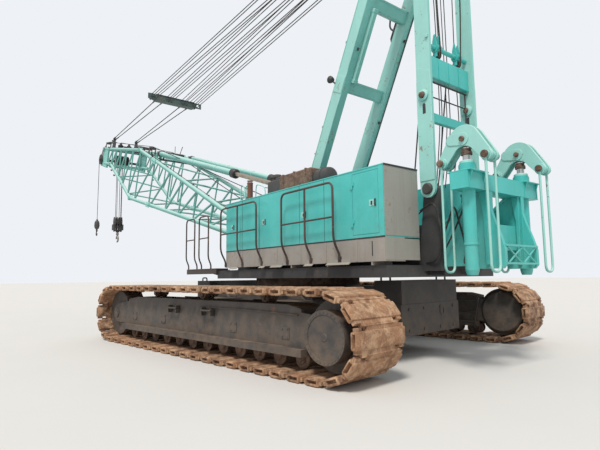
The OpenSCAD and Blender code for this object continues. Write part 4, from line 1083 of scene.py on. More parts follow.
        teal = [block((-4.2, -0.618, 4.95), (-4.08, 0.618, 5.35), 0.01),
                block((-4.18, -0.618, 4.15), (-4.10, 0.618, 4.32), 0.01),
                rod((REAR_LEG_X, -0.62, 5.56), (REAR_LEG_X, 0.62, 5.56), 0.04, 16)]
        teal += [block((-4.21, y - 0.01, 4.96), (-4.2, y + 0.01, 5.34), 0.002) for y in (-0.3, 0.0, 0.3)]
        frame_bars, rollers = [rod((REAR_LEG_X, -0.6, 4.9), (REAR_LEG_X, 0.6, 4.9), 0.016)], []
        for y in (0.25, -0.35):
            teal.append(turned(band(0.04, 0.075, -0.07, 0.07), (REAR_LEG_X, y, 5.56), "Y", 20))
            for dy in (-0.05, 0.05):
                teal.append(side_plate([(-4.2, 5.5), (-4.08, 5.5), (-4.09, 5.7), (-4.12, 5.82),
                        (-4.15, 5.83), (-4.17, 5.72)], y + dy - 0.008, y + dy + 0.008, 0.002))
                teal.append(side_plate([(-4.19, 5.55), (-4.09, 5.55), (-4.10, 5.40), (-4.18, 5.40)],
                        y + dy - 0.008, y + dy + 0.008, 0.002))
            rollers.append(sheave((REAR_LEG_X, y, GUIDE_SHEAVE), 0.075, 0.07, 0.02, 20))
        for y in (-0.56, 0.56):
            frame_bars.append(rod((REAR_LEG_X, y, 4.9), (REAR_LEG_X, y, 4.3), 0.014))
        frame_bars.append(rod((REAR_LEG_X, -0.56, 4.62), (REAR_LEG_X, 0.56, 4.62), 0.012))
        upper_piece("rope_guide_plates", teal, "teal", instead=("rope_guide",))
        upper_piece("rope_guide_bars", frame_bars, "frame")
        upper_piece("rope_guide_rollers", rollers, "frame")

        ropes = []
        for y, side in ((0.25, 0.42), (-0.35, -0.3)):
            ropes.append(pipe([(-2.56, side, 2.33), (-3.62, side, 3.0), (-3.69, side, 3.43),
                    (-3.95, side, 5.3), (-4.06, y, GUIDE_SHEAVE)], LOAD_ROPE, 0.2, 6))
            ropes.append(pipe([(-4.22, y, GUIDE_SHEAVE), (-4.3, side, 6.35), (-4.345, side, 9.2)],
                    LOAD_ROPE, 0.3, 6))
        for y in (0.5, 0.12, 0.05, -0.1, -0.2, -0.48):
            ropes.append(pipe([(-4.02, y, 6.9), (-4.045, y * 0.9, 5.45), (-4.05, y, 4.2),
                    (-3.9, y * 0.8, 3.1)], 0.009, 0.3, 6))
        upper_piece("gantry_ropes", ropes, "rope")
        return {"FINISHED"}


class CRANE_OT_lift_fittings(bpy.types.Operator):
    """Fit the pins, collars, hoses and braces of the weight lifting device"""
    bl_idname = "crane.lift_fittings"
    bl_label = "Lifting device fittings"

    def execute(self, context):
        x = LIFT_X
        teal, light, hoses = [], [], []
        for side, name in ((1, "left"), (-1, "right")):
            y = side * LIFT_Y
            teal.append(block((x - 0.2, y - 0.26, 3.0505), (x + 0.2, y + 0.24, 3.07), 0.004))
            teal.append(turned([(0.101, 3.07), (0.135, 3.07), (0.135, 3.1), (0.118, 3.12), (0.118, 3.2),
                    (0.101, 3.2), (0.101, 3.07)], (x, y, 0), "Z", 32))
            light.append(turned([(0.063, 3.182), (0.112, 3.182), (0.112, 3.23), (0.098, 3.245),
                    (0.063, 3.245), (0.063, 3.182)], (x, y, 0), "Z", 32))
            teal.append(turned([(0.103, 1.95), (0.112, 1.955), (0.112, 1.985), (0.103, 1.99),
                    (0.103, 1.95)], (x, y, 0), "Z", 32))
            teal.append(turned([(0, 1.5), (0.075, 1.5), (0.085, 1.52), (0.101, 1.5795), (0, 1.5795)],
                    (x, y, 0), "Z", 32))
            for j in (-1, 1):
                teal.append(block((x - 0.157, y + j * 0.2 - 0.006, 2.81),
                        (x - 0.15, y + j * 0.2 + 0.006, 3.04), 0.001))
                teal.append(side_plate([(x - 0.2, 3.05), (x - 0.15, 3.05), (x - 0.15, 2.9)],
                        y + j * 0.18 - 0.008, y + j * 0.18 + 0.008))
            hoses.append(pipe([(x + 0.09, y, 1.7), (x + 0.16, y - side * 0.03, 1.7),
                    (x + 0.2, y - side * 0.2, 1.9), (x + 0.4, y - side * 0.2, 2.65),
                    (x + 0.6, y - side * 0.2, 2.2)], 0.016, 0.12))
            hoses.append(pipe([(x + 0.1, y, 2.72), (x + 0.15, y - side * 0.19, 2.7),
                    (x + 0.42, y - side * 0.2, 2.2), (x + 0.62, y - side * 0.2, 1.9)], 0.014, 0.12))
            hoses += [rod((x + 0.08, y, z), (x + 0.13, y, z), 0.024, 6) for z in (1.7, 2.72)]
            pins = []
            for j in (-1, 1):
                for dx, z, radius in ((0, EQUALIZER_PIN, 0.042), (-LINK_REACH, LINK_PIN, 0.056),
                        (LINK_REACH, LINK_PIN, 0.056)):
                    face = y + j * (0.104 if dx == 0 else 0.14)
                    pins.append(turned([(0, 0), (radius, 0), (radius, j * 0.03), (radius * 0.75, j * 0.045),
                            (0, j * 0.05)], (x + dx, face, z), "Y", 20))
            upper_piece(f"equalizer_pins_{name}", pins, "rust", f"equalizer_{name}")
            rims = []
            for dx in (-LINK_REACH, LINK_REACH):
                for j in (-1, 1):
                    rims.append(turned([(0.06, j * 0.09), (0.09, j * 0.09), (0.085, j * 0.105),
                            (0.06, j * 0.105), (0.06, j * 0.09)], (x + dx, y, LINK_PIN), "Y", 24))
            upper_piece(f"equalizer_bosses_{name}", rims, "light", f"equalizer_{name}")
            clevis = [turned([(0.061, 3.33), (0.085, 3.335), (0.085, 3.38), (0.07, 3.4), (0.07, 3.43),
                    (0.061, 3.43), (0.061, 3.33)], (x, y, 0), "Z", 24),
                    block((x - 0.075, y - 0.046, 3.44), (x + 0.075, y + 0.046, 3.56), 0.012)]
            upper_piece(f"rod_end_{name}", clevis, "rust", f"lift_rod_{name}")
        for z in (1.66, 1.93):
            teal.append(block((x - 0.375, -0.48, z), (x - 0.335, 0.48, z + 0.03), 0.003))
        for j in (-1, 1):
            teal.append(rod((x - 0.355, j * 0.4, 1.69), (x - 0.355, 0, 1.93), 0.014, 6))
            teal.append(rod((x - 0.355, j * 0.05, 1.69), (x - 0.355, j * 0.42, 1.93), 0.014, 6))
            teal.append(block((x - 0.17, j * 0.48 - 0.042, 1.7), (x - 0.15, j * 0.48 + 0.042, 2.78), 0.003))
        teal.append(block((x + 0.3, -0.447, 1.9), (x + 0.32, 0.447, 2.6), 0.004))
        teal.append(block((x + 0.3, -0.3, 1.7), (x + 0.6, 0.3, 1.76), 0.004))
        upper_piece("lift_collars", teal, "teal")
        upper_piece("lift_seals", light, "light")
        hoses.append(pipe([(x + 0.5, 0.2, 1.78), (x + 0.3, 0.3, 2.1), (x + 0.1, 0.2, 1.9),
                (x + 0.3, -0.2, 2.3), (x + 0.6, -0.25, 1.9)], 0.015, 0.2))
        hoses.append(pipe([(-3.97, 0.68, 2.6), (-4.3, 0.72, 2.75), (-4.42, 0.72, 2.2), (-4.3, 0.66, 1.75),
                (-4.0, 0.6, 1.72)], 0.016, 0.25))
        hoses.append(block((x + 0.36, -0.12, 1.76), (x + 0.54, 0.1, 1.92), 0.01))
        upper_piece("lift_hoses", hoses, "rubber")
        return {"FINISHED"}


class CRANE_OT_load_ropes(bpy.types.Operator):
    """Run the load ropes from the winches over the boom to its head, and wind the winches"""
    bl_idname = "crane.load_ropes"
    bl_label = "Load ropes"

    def execute(self, context):
        runs = (("main", (0.2, 0.12, 2.47), (8.0, 0.18, 1.32)),
                ("aux", (-1.3, -0.15, 2.47), (8.0, 0.98, 1.42)))
        for name, drum, roller in runs:
            count = 24
            end = on_boom(*roller)
            points = [Vector(drum).lerp(end, k / count) for k in range(count + 1)]
            rope = piece(f"{name}_load_rope", [pipe(points, LOAD_ROPE, 0, 6)], "rope", SLEW, None)
            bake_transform(rope)
        s, h = BOOM_SHEAVE
        over = [pipe([(7.98, 0.18, 1.32), (11.5, 0.19, 1.14), (15.03, 0.205, 0.955), (15.17, 0.205, 0.92),
                (15.24, 0.14, 0.82), (15.5, 0.13, 0.12), (15.56, 0.13, -0.06)], LOAD_ROPE, 0.08, 6),
                pipe([(7.98, 0.98, 1.42), (14.1, AUX_Y, 0.95), (14.6, AUX_Y, 0.72), (15.22, AUX_Y, 0.21),
                (15.4, AUX_Y, 0.16), (15.49, AUX_Y, -0.02)], LOAD_ROPE, 0.1, 6)]
        piece("boom_load_ropes", over, "rope", BOOM, "boom")
        rollers = []
        for s, h, y0, y1 in ((8.0, 1.245, -0.3, 0.5), (8.0, 1.355, 0.86, 1.1), (14.1, 0.885, 0.94, 1.14),
                (11.5, 1.075, -0.2, 0.5)):
            rollers.append(turned([(0, y0), (0.02, y0), (0.02, y0 + 0.03), (0.055, y0 + 0.035),
                    (0.055, y1 - 0.035), (0.02, y1 - 0.03), (0.02, y1), (0, y1)], (s, 0, h), "Y", 16))
            for y in (y0, y1):
                foot = h - (0.3 if y0 < 0 else 0.22)
                rollers.append(side_plate([(s - 0.08, foot), (s + 0.08, foot), (s + 0.03, h + 0.04),
                        (s - 0.03, h + 0.04)], y - 0.006, y + 0.006))
        rollers += [rod((s, -CHORD_Y, h), (s, CHORD_Y, h), 0.028) for s, h in ((8.0, 0.97), (11.5, 0.85))]
        rollers.append(rod((8.0, CHORD_Y, 1.0), (8.0, 1.0, 1.2), 0.03))
        rollers.append(rod((14.1, CHORD_Y, 0.62), (14.1, AUX_Y, 0.72), 0.03))
        piece("rope_rollers", rollers, "frame", BOOM, "boom")

        for node, x, radius in (("main_drum", 0.25, 0.24), ("aux_drum", -1.25, 0.24),
                ("boom_hoist_drum", -2.35, 0.22)):
            flange = radius + 0.16
            wound = [(0, -0.42), (0.06, -0.42), (flange, -0.42), (flange, -0.385), (radius + 0.03, -0.38)]
            turns = 24
            for k in range(turns):
                place = -0.375 + 0.75 * k / turns
                wound += [(radius + 0.045, place + 0.012), (radius + 0.028, place + 0.03)]
            wound += [(radius + 0.03, 0.38), (flange, 0.385), (flange, 0.42), (0.06, 0.42), (0, 0.42)]
            drum = [turned(wound, (x, 0, DRUM_Z), "Y", 32),
                    rod((x, -0.51, DRUM_Z), (x, 0.51, DRUM_Z), 0.06, 20)]
            for side in (-1, 1):
                drum += bolts(ring_places((x, side * 0.425, DRUM_Z), radius - 0.03, 12), 0.02, 0.014)
            upper_piece(f"{node}_wound", drum, "rope", node, instead=(node,))
        return {"FINISHED"}


class CRANE_OT_boom_fittings(bpy.types.Operator):
    """Fit the joint pins, head plates, lamps and brackets of the boom, its backstops and its hooks"""
    bl_idname = "crane.boom_fittings"
    bl_label = "Boom fittings"

    def execute(self, context):
        joints = []
        for side in (1, -1):
            y = side * CHORD_Y
            for h, lean in ((0.922, 0.0948), (-0.774, -0.0937)):
                for j in (-1, 1):
                    joints.append(side_plate([(7.45, h - 0.1 - lean * 0.17), (7.79, h - 0.1 + lean * 0.17),
                            (7.79, h + 0.1 + lean * 0.17), (7.45, h + 0.1 - lean * 0.17)],
                            y + j * 0.078 - 0.012, y + j * 0.078 + 0.012, 0.004))
                for s in (7.53, 7.71):
                    pin = both_ways([(0, 0.13), (0.034, 0.13), (0.034, 0.1), (0.028, 0.1)])
                    joints.append(turned(pin, (s, y, h + lean * (s - 7.62)), "Y", 16))
        piece("boom_joint_plates", joints, "light", BOOM, "boom")

        head, rust_and_sunlit = [], []
        for side in (1, -1):
            outer = side * 0.961
            # The end plates of the head take the pale dusty grey sheet instead of the boom teal, a painted
            # highlight for plates in sun.
            rust_and_sunlit.append(side_plate([(15.2, -0.36), (15.4, -0.36), (15.48, 0.0), (15.4, 0.545),
                    (15.2, 0.565)], outer, outer + side * 0.012, 0.003))
            head.append(side_plate([(14.32, -0.3), (15.15, -0.34), (15.15, 0.58), (14.32, 0.62)], outer,
                    outer + side * 0.012, 0.003))
            head += [block((s, outer, -0.3), (s + 0.03, outer + side * 0.03, 0.57), 0.003)
                    for s in (14.45, 14.65, 14.85, 15.05)]
            head.append(turned(band(0.065, 0.13, 0, side * 0.02), (15.24, outer, -0.06), "Y", 24))
        head.append(block((14.9, -0.9, 0.56), (15.3, 0.9, 0.575), 0.003))
        piece("head_plates", head, "light", BOOM, "boom")
        # Pale end plates: painted highlight of the sunlit head end.
        piece("head_end_plates_sunlit", rust_and_sunlit, "beige", BOOM, "boom")

        small = [rod((15.35, 0.6, 0.5), (15.35, 0.6, 0.82), 0.014),
                block((15.28, 0.55, 0.82), (15.42, 0.66, 0.9), 0.01),
                rod((15.35, -0.7, 0.5), (15.32, -0.7, 1.0), 0.012),
                rod((13.6, 0.85, 0.65), (13.6, 0.85, 1.0), 0.012),
                rod((13.6, 0.7, 1.0), (13.6, 1.0, 1.05), 0.01),
                block((13.56, 0.97, 1.02), (13.64, 1.04, 1.1), 0.01),
                rod((9.2, -0.6, 1.15), (9.0, -0.6, 1.55), 0.014),
                rod((9.2, -0.4, 1.15), (9.3, -0.4, 1.5), 0.012),
                block((9.1, -0.65, 1.1), (9.35, -0.35, 1.16))]
        for side in (1, -1):
            for s, h in ((13.75, -0.13), (13.45, -0.25), (12.9, -0.41)):
                small.append(block((s - 0.06, side * CHORD_Y - 0.03, h - 0.1),
                        (s + 0.06, side * CHORD_Y + 0.03, h - 0.04)))
        small.append(pipe([(1.2, 0.9, 0.398), (9.6, 0.9, 1.194), (14.9, 0.9, 0.615)], 0.009, 0.4, 6))
        small += [block((s - 0.02, 0.875, 0.265 + 0.0948 * s), (s + 0.02, 0.925, 0.302 + 0.0948 * s),
                0.003) for s in (1.6, 2.8, 4.0, 5.2, 6.4, 8.2, 9.2)]
        piece("boom_lamps", small, "frame", BOOM, "boom")

        collars = []
        for side in (1, -1):
            y = side * STOP_Y
            collars.append(turned([(0.062, 6.36), (0.062, 6.38), (0.11, 6.38), (0.136, 6.35), (0.136, 6.17),
                    (0.11, 6.14), (0.0965, 6.14), (0.0965, 6.36), (0.062, 6.36)], (0, y, 0), "X", 24))
            collars.append(turned([(0.0955, 0.15), (0.112, 0.15), (0.112, 0.28), (0.0955, 0.3),
                    (0.0955, 0.15)], (0, y, 0), "X", 24))
        piece("backstop_collars", collars, "black", STOP, "backstop_barrels")
        bands = [turned(band(0.0955, 0.102, s, s + 0.03), (0, side * STOP_Y, 0), "X", 24)
                for side in (1, -1) for s in (1.6, 3.4, 5.1)]
        piece("backstop_bands", bands, "light", STOP, "backstop_barrels")

        x = HOOK_X
        cheek = ((-0.2, 4.5), (-0.13, 4.68), (0.13, 4.68), (0.2, 4.5), (0.2, 4.2), (0.1, 3.92),
                (-0.1, 3.92), (-0.2, 4.2))
        blockparts = [plate([(x + dx, y - 0.012, z) for dx, z in cheek], (0, 0.024, 0), 0.005)
                for y in (-0.17, -0.06, 0.06, 0.17)]
        blockparts += [sheave((x, y, 4.42), 0.19, 0.07, 0.035, 28) for y in (-0.115, 0.0, 0.115)]
        blockparts.append(rod((x, -0.21, 4.42), (x, 0.21, 4.42), 0.035, 16))
        blockparts += [block((x - 0.16, y - 0.035, 4.0), (x + 0.16, y + 0.035, 4.3), 0.01)
                for y in (-0.215, 0.215)]
        blockparts.append(turned([(0, 3.9), (0.09, 3.9), (0.09, 3.97), (0.06, 3.99), (0, 3.99)], (x, 0, 0),
                "Z", 24))
        blockparts.append(block((x - 0.1, -0.17, 3.95), (x + 0.1, 0.17, 4.03), 0.01))
        upper_piece("hook_block_plates", blockparts, "frame", "hook_block", instead=("hook_block",))
        falls = [rod((x + dx, y, 4.5), (x + dx * 0.6, y, FALLS_TOP), LOAD_ROPE, 6)
                for dx, y in ((0.0, 0.13), (0.0, -0.13), (-0.19, 0.0), (-0.17, 0.115), (-0.17, -0.115))]
        upper_piece("hook_falls", falls, "rope", "hook_block")
        latch = [turned([(0, 3.74), (0.055, 3.74), (0.07, 3.77), (0.07, 3.84), (0.05, 3.87), (0.05, 3.9),
                (0, 3.9)], (x, 0, 0), "Z", 20), side_plate([(x - 0.03, 3.70), (x - 0.015, 3.70),
                (x + 0.13, 3.55), (x + 0.115, 3.54)], -0.02, 0.02, 0.002)]
        upper_piece("hook_latch", latch, "steel", "hook")

        x, y = AUX_X, AUX_Y
        aux = [turned([(0, 3.98), (0.05, 3.99), (0.1, 4.04), (0.12, 4.12), (0.12, 4.3), (0.1, 4.38),
                (0.05, 4.44), (0.03, 4.5), (0, 4.5)], (x, y, 0), "Z", 24),
                turned(band(0.122, 0.128, 4.16, 4.2), (x, y, 0), "Z", 24),
                turned([(0, 3.86), (0.03, 3.86), (0.045, 3.9), (0.045, 3.96), (0.03, 3.99), (0, 3.99)],
                (x, y, 0), "Z", 16)]
        turns = [math.radians(turn) for turn in range(0, 281, 20)]
        bend = [(x + 0.085 * math.sin(turn), y, 3.76 + 0.085 * math.cos(turn)) for turn in turns]
        aux.append(pipe([(x, y, 3.87)] + bend, 0.024, 0, 8))
        aux.append(rod((x, y, 4.48), (x, y, FALLS_TOP), LOAD_ROPE, 6))
        upper_piece("aux_hook", aux, "frame", "hook_block")
        return {"FINISHED"}


class CRANE_OT_bridle_fittings(bpy.types.Operator):
    """Build the boom hoist bridle with its rope sheaves and eyes, and the ends of the pendants"""
    bl_idname = "crane.bridle_fittings"
    bl_label = "Bridle"

    def execute(self, context):
        x, z = BRIDLE
        parts = [block((x - 0.11, -0.84, z - 0.11), (x + 0.11, 0.84, z + 0.11), 0.012)]
        for side in (1, -1):
            end = block((x - 0.11, side * 0.84, z - 0.11), (x - 0.085, side * 1.12, z + 0.11), 0.006)
            hole = rod((x - 0.2, side * 0.97, z), (x, side * 0.97, z), 0.062, 24)
            parts.append(bored(end, hole))
            parts.append(turned(band(0.063, 0.08, -0.014, 0.014), (x - 0.0975, side * 0.97, z), "X", 24))
        for z_plate in (z - 0.122, z + 0.11):
            parts.append(block((x - 0.14, -0.8, z_plate), (x + 0.14, 0.8, z_plate + 0.012), 0.003))
        for y in BRIDLE_ROPES:
            parts.append(sheave((x, y + 0.03, z + 0.02), 0.135, 0.05, 0.02, 24))
            parts.append(side_plate([(x - 0.125, z - 0.1), (x - 0.03, z + 0.135), (x + 0.03, z + 0.135),
                    (x + 0.125, z - 0.1)], y - 0.01, y + 0.002, 0.002))
        for y in (-0.7, -0.38, 0.38, 0.7):
            parts.append(side_plate([(x, z - 0.09), (x + 0.17, z - 0.05), (x + 0.2, z),
                    (x + 0.17, z + 0.05), (x, z + 0.09)], y - 0.02, y + 0.02, 0.004))
        parts.append(rod((x + 0.17, -0.76, z), (x + 0.17, 0.76, z), 0.022, 12))
        parts += bolts([(x - 0.112, y, z + dz) for y in (-0.95, -0.6, 0.6, 0.95) for dz in (-0.08, 0.08)],
                0.016, 0.014, "X")
        upper_piece("bridle_beam", parts, "bridle", "bridle", instead=("bridle",))

        bars, ends = [], []
        for side in (1, -1):
            for j in (-1, 1):
                start = Vector((x + 0.19, side * POST_Y + j * 0.16, z))
                stop = on_boom(15.05, side * POST_Y + j * 0.056, 1.08)
                along = (stop - start).normalized()
                bars.append(rod(start, stop, 0.018, 10))
                for end, way in ((start, along), (stop, -along)):
                    ends.append(rod(end + way * 0.04, end + way * 0.34, 0.028, 12))
                    ends.append(rod(end + way * 0.34, end + way * 0.42, 0.022, 12))
                    low, high = sorted((-j * 0.012, j * 0.012))
                    ends.append(turned([(0, low), (0.05, low), (0.05, high), (0, high)], end, "Y", 16))
        upper_piece("pendant_bars", bars, "rope", "pendants", instead=("pendants",))
        upper_piece("pendant_sockets", ends, "dull", "pendants")
        return {"FINISHED"}


class CRANE_OT_roof_fittings(bpy.types.Operator):
    """Build the exhaust, the silencer and the air cleaner on the roof"""
    bl_idname = "crane.roof_fittings"
    bl_label = "Roof fittings"

    def execute(self, context):
        rust_and_sunlit = [turned([(0.062, 3.3), (0.095, 3.3), (0.095, 3.315), (0.071, 3.32), (0.071, 3.83),
                (0.076, 3.84), (0.076, 3.86), (0.062, 3.86), (0.062, 3.3)], STACK, "Z", 24)]
        rust_and_sunlit.append(turned(band(0.071, 0.08, 3.45, 3.49), STACK, "Z", 24))
        rust_and_sunlit.append(turned([(0, 3.9), (0.08, 3.9), (0.08, 3.906), (0, 3.912)], STACK, "Z", 24))
        for x in (STACK[0] - 0.07, STACK[0] + 0.07):
            rust_and_sunlit.append(rod((x, STACK[1], 3.8), (x, STACK[1], 3.902), 0.008, 6))
        upper_piece("exhaust_stack", rust_and_sunlit, "stack", instead=("exhaust",))

        parts = [block((-1.72, 0.785, 3.301), (-0.6, 1.265, 3.735), 0.03)]
        for x in (-1.55, -1.15, -0.75):
            parts.append(block((x - 0.02, 0.775, 3.301), (x + 0.02, 1.275, 3.745), 0.004))
        parts.append(block((-1.74, 0.77, 3.3005), (-0.585, 1.28, 3.325), 0.004))
        parts += bolts([(x, y, 3.33) for x in (-1.65, -1.3, -0.95, -0.66) for y in (0.778, 1.272)], 0.02,
                0.012, "Z")
        upper_piece("silencer_box", parts, "rust")
        black = [turned([(0, -2.13), (0.12, -2.12), (0.18, -2.08), (0.196, -2.02), (0.196, -1.74),
                (0.205, -1.74), (0.205, -1.715), (0, -1.715)], CLEANER, "X", 32),
                turned(band(0.197, 0.204, -1.95, -1.91), CLEANER, "X", 32)]
        black.append(block((-0.592, 0.84, 3.3005), (-0.05, 1.21, 3.7), 0.02))
        black.append(block((-0.56, 0.88, 3.7), (-0.32, 1.17, 3.76), 0.015))
        black.append(turned([(0, 3.7), (0.09, 3.7), (0.09, 3.78), (0.12, 3.79), (0.12, 3.84), (0.08, 3.87),
                (0, 3.87)], (-0.2, 1.02, 0), "Z", 24))
        black += [block((x, 0.83, 3.34), (x + 0.012, 0.842, 3.68), 0.002)
                for x in (-0.5, -0.4, -0.3, -0.2, -0.12)]
        upper_piece("air_cleaner", black, "frame", instead=("roof_boxes",))
        return {"FINISHED"}


class CRANE_OT_house_seams(bpy.types.Operator):
    """Lay thin dark strips on the seams between the panels of the houses, as painted shade in the gaps"""
    bl_idname = "crane.house_seams"
    bl_label = "House seams"

    def execute(self, context):
        seams = []
        for side, places in ((1, (-2.526, -1.778, -0.312, 0.417)), (-1, (-3.42, -0.48, 0.3))):
            face = side * HOUSE_Y
            seams += [block((x - 0.005, face - side * 0.01, 2.145),
                    (x + 0.005, face + side * 0.0015, 3.284), 0.0004) for x in places]
        upper_piece("panel_gap_shades", seams, "seam")
        return {"FINISHED"}


class CRANE_OT_cab_fittings(bpy.types.Operator):
    """Fit the window rubbers, mirrors, handles, wiper, lamp and levers of the cab"""
    bl_idname = "crane.cab_fittings"
    bl_label = "Cab fittings"

    def execute(self, context):
        def seal(low, high, radius=0.012):
            corners = [low, (*high[:2], low[2]), high, (*low[:2], high[2])]
            first = (Vector(corners[0]) + Vector(corners[1])) / 2
            return pipe([first, *corners[1:], corners[0], first], radius, 0.04, 6)

        rubbers = [seal((2.832, -1.98, 2.26), (2.832, -1.19, 3.45)),
                seal((1.10, -1.108, 2.58), (2.68, -1.108, 3.43)),
                seal((0.878, -1.95, 2.68), (0.878, -1.22, 3.41)),
                seal((0.98, -2.062, 2.58), (1.48, -2.062, 3.43)),
                rod((1.9, -1.106, 2.58), (1.9, -1.106, 3.43), 0.012, 6),
                rod((2.835, -1.98, 2.72), (2.835, -1.19, 2.72), 0.012, 6)]
        upper_piece("window_rubbers", rubbers, "plastic")

        parts = [rod((2.84, -1.6, 3.42), (2.85, -1.38, 2.95), 0.008, 6),
                rod((2.83, -1.6, 3.42), (2.86, -1.6, 3.42), 0.02, 12),
                block((2.842, -1.42, 2.78), (2.852, -1.37, 3.12), 0.002)]
        for y in (-2.0, -1.17):
            out = -0.13 if y < -1.5 else 0.1
            parts.append(pipe([(2.78, y, 3.1), (2.95, y + out * 0.5, 3.12), (2.97, y + out, 3.1),
                    (2.97, y + out, 2.8)], 0.011, 0.04))
            parts.append(block((2.955, y + out - 0.07, 2.82), (2.985, y + out + 0.07, 3.05), 0.008))
        for y in (-1.95, -1.25):
            parts.append(turned([(0, -0.05), (0.05, -0.05), (0.07, 0.0), (0.07, 0.05), (0, 0.05)],
                    (2.78, y, 3.62), "X", 16))
            parts.append(rod((2.78, y, 3.555), (2.78, y, 3.58), 0.012))
        parts.append(pipe([(2.0, -1.3, 3.556), (2.0, -1.3, 3.6), (2.5, -1.3, 3.6), (2.5, -1.3, 3.556)],
                0.011, 0.03))
        parts.append(pipe([(1.53, -2.058, 1.95), (1.53, -2.11, 1.95), (1.53, -2.11, 2.5),
                (1.53, -2.058, 2.5)], 0.012, 0.03))
        parts += [pipe([(x, -2.06, 1.79), (x, -2.06, 1.5), (x, -1.95, 1.45)], 0.012, 0.03)
                for x in (1.7, 2.2)]
        parts.append(rod((1.7, -2.06, 1.5), (2.2, -2.06, 1.5), 0.014))
        upper_piece("cab_mirrors", parts, "black")

        handle = [pipe([(1.66, -2.108, 2.35), (1.66, -2.135, 2.35), (1.66, -2.135, 2.48),
                (1.66, -2.108, 2.48)], 0.009, 0.01), block((1.63, -2.112, 2.31), (1.69, -2.1, 2.52), 0.003)]
        handle.append(seal((1.67, -2.104, 2.58), (2.59, -2.104, 3.36), 0.011))
        upper_piece("cab_door_handle", handle, "black", "cab_door")

        levers = [block((2.25, -1.9, 1.84), (2.45, -1.75, 2.35), 0.02),
                block((2.25, -1.42, 1.84), (2.45, -1.27, 2.35), 0.02)]
        for y in (-1.86, -1.79, -1.38, -1.31):
            levers.append(rod((2.35, y, 2.34), (2.38, y, 2.56), 0.009, 6))
            levers.append(turned([(0, -0.025), (0.018, -0.018), (0.025, 0), (0.018, 0.018), (0, 0.025)],
                    (2.38, y, 2.57), "Z", 12))
        levers += [block((2.6, y - 0.06, 1.85), (2.72, y + 0.06, 1.9), 0.008) for y in (-1.7, -1.5)]
        upper_piece("cab_levers", levers, "plastic")
        return {"FINISHED"}


class CRANE_OT_deck_fittings(bpy.types.Operator):
    """Fit the pins of the boom's feet, and the valve block with its hoses on the deck"""
    bl_idname = "crane.deck_fittings"
    bl_label = "Deck fittings"

    def execute(self, context):
        pins = []
        for side in (1, -1):
            for j in (1, -1):
                y = side * CHORD_Y + j * (FOOT_PIN_END + 0.002)
                pins.append(turned([(0, -j * 0.01), (0.08, -j * 0.01), (0.08, j * 0.015), (0.05, j * 0.025),
                        (0, j * 0.025)], (BOOM_FOOT[0], y, BOOM_FOOT[2]), "Y", 20))
                pins.append(block((1.02, y - 0.012, 2.43), (1.1, y + 0.012, 2.57), 0.003))
        pins += [block((-1.05 + 0.14 * k, -0.36, 1.6805), (-0.97 + 0.14 * k, -0.14, 1.9), 0.01)
                for k in range(4)]
        pins.append(block((-1.15, -0.4, 1.6805), (-0.4, -0.1, 1.75), 0.006))
        upper_piece("boom_foot_pins", pins, "frame")
        hoses = []
        for k in range(6):
            x, y = -1.0 + 0.1 * k, -0.34 + 0.05 * k
            hoses.append(pipe([(x, y, 1.88), (x, y, 2.0), (-0.2, y + 0.3, 1.95), (0.5, y + 0.5, 1.72),
                    (1.3, y + 0.45, 1.7)], 0.014, 0.15, 6))
        upper_piece("deck_hoses", hoses, "rubber")
        return {"FINISHED"}


